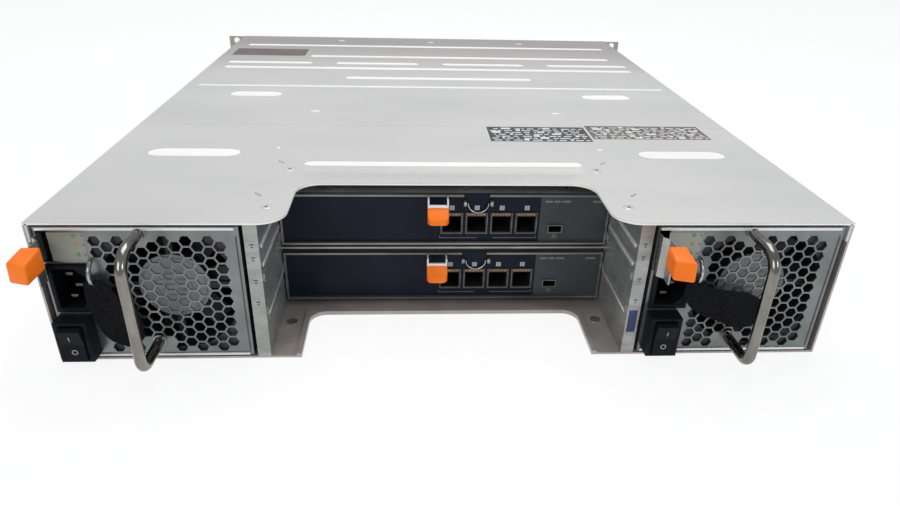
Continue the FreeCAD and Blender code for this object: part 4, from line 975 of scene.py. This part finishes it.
stamps = []
for sign in (-1, 1):
    for x, depth in ((105.5, 93), (110, 39)):
        for step in (-1.5, 0, 1.5):
            place = on_lid(sign * x + step, depth + step * sign)
            stamps.append(block("stamp", place + Vector((-0.45, -0.9, -0.1)) * MM,
                                place + Vector((0.45, 0.9, 0.05)) * MM))
mount(together("lid_stamps", stamps), "chassis", grey_print)

bumps = []
for x, depth in ((-98, 210), (97, 208.5), (-103, 513), (4, 510), (111, 509)):
    bump = drum("bump", on_lid(x, depth), 3.6 * MM, 0.7 * MM, "up", 32)
    pick(bump, "FACE", lambda centre, normal: True)
    bpy.ops.mesh.bisect(plane_co=on_lid(x, depth), plane_no=(0, -1, 0), clear_outer=True, use_fill=True)
    done()
    bumps.append(soften(bump, 0.25 * MM))
for x, depth in ((-112, 121), (110.5, 120)):
    bumps.append(soften(drum("pip", on_lid(x, depth), 1.4 * MM, 0.6 * MM, "up", 20), 0.2 * MM))
# The bumps and pips take the near-white painted highlight.
mount(together("lid_bumps", bumps), "chassis", ridge_highlight_steel)

# The long ridge takes the same painted highlight.
ridge = block("lid_ridge", on_lid(-212, 290.5) - Vector((0, 0, 0.2 * MM)),
              on_lid(213, 295) + Vector((0, 0, 0.3 * MM)))
mount(soften(ridge, 0.2 * MM), "chassis", ridge_highlight_steel)


# %% Labels
def label(name, x_low, x_high, near, far, rows, seed, paper):
    """A printed label: dark paper and rows of plain pale bars with gaps between them."""
    z = TOP / MM
    card = block(name + "_card", rear_spot(x_low, near, z - 0.02), rear_spot(x_high, far, z + 0.06))
    mount(card, "chassis", paper)
    bars = []
    pitch = (far - near - 3) / rows
    for row in range(rows):
        x = x_low + 1.8 + (row * 3 + seed) % 4
        step = 0
        while x < x_high - 3:
            step += 1
            length = 1.6 + ((row * 7 + step * 5 + seed) % 9) * 0.7
            end = min(x + length, x_high - 1.6)
            y = near + 1.8 + row * pitch
            thick = pitch * (0.8 if (row * 2 + step + seed) % 5 == 0 else 0.38)
            bars.append(block("bar", rear_spot(x, y, z + 0.05), rear_spot(end, y + thick, z + 0.09)))
            x = end + 1.2 + (row + step * seed) % 3
    mount(together(name + "_bars", bars), "chassis", white_print)


label("label_left", 36, 110.5, 138.5, 173, 7, 1, dark_print)
label("label_right", 112.5, 201, 145, 177, 7, 4, brown_print)
sticker = block("front_sticker", rear_spot(-213, 425, TOP / MM - 0.05), rear_spot(-135, 461, TOP / MM + 0.05))
mount(sticker, "chassis", brown_print)

# %% [markdown]
# ## Divider flanges
# The two bay walls end in flanges that carry small stamped marks and a blue tag.

# %% Flange marks
marks = []
for sign in (-1, 1):
    for z in (74, 66, 52, 38):
        place = rear_spot(sign * 107.2, -0.05, z)
        marks.append(block("mark", place + Vector((-1.1, -0.03, -0.35)) * MM,
                           place + Vector((1.1, 0.06, 0.35)) * MM))
        marks.append(block("mark", place + Vector((-0.5, -0.03, -2.0)) * MM,
                           place + Vector((0.5, 0.06, -1.2)) * MM))
mount(together("flange_marks", marks), "chassis", dark_print)
WALL_FACE = 103.5
rails = []
for sign in (-1, 1):
    for z in (27, 58.5, 70):
        near, far = sorted((sign * (WALL_FACE - 0.75), sign * (WALL_FACE + 0.1)))
        rails.append(soften(block("rail", rear_spot(near, 4, z), rear_spot(far, 54, z + 2.4)), 0.3 * MM))
mount(together("bay_rails", rails), "chassis", bright_strip)
clinches = [drum("clinch", rear_spot(x, 36, 1.3), 3.4 * MM, 0.3 * MM, "up", 28) for x in (-97, 97)]
mount(together("floor_clinches", clinches), "chassis", leaf_steel)
tag = block("flange_tag", rear_spot(104.6, -0.15, 16), rear_spot(109.6, 0.02, 31))
mount(tag, "chassis", blue_tag)
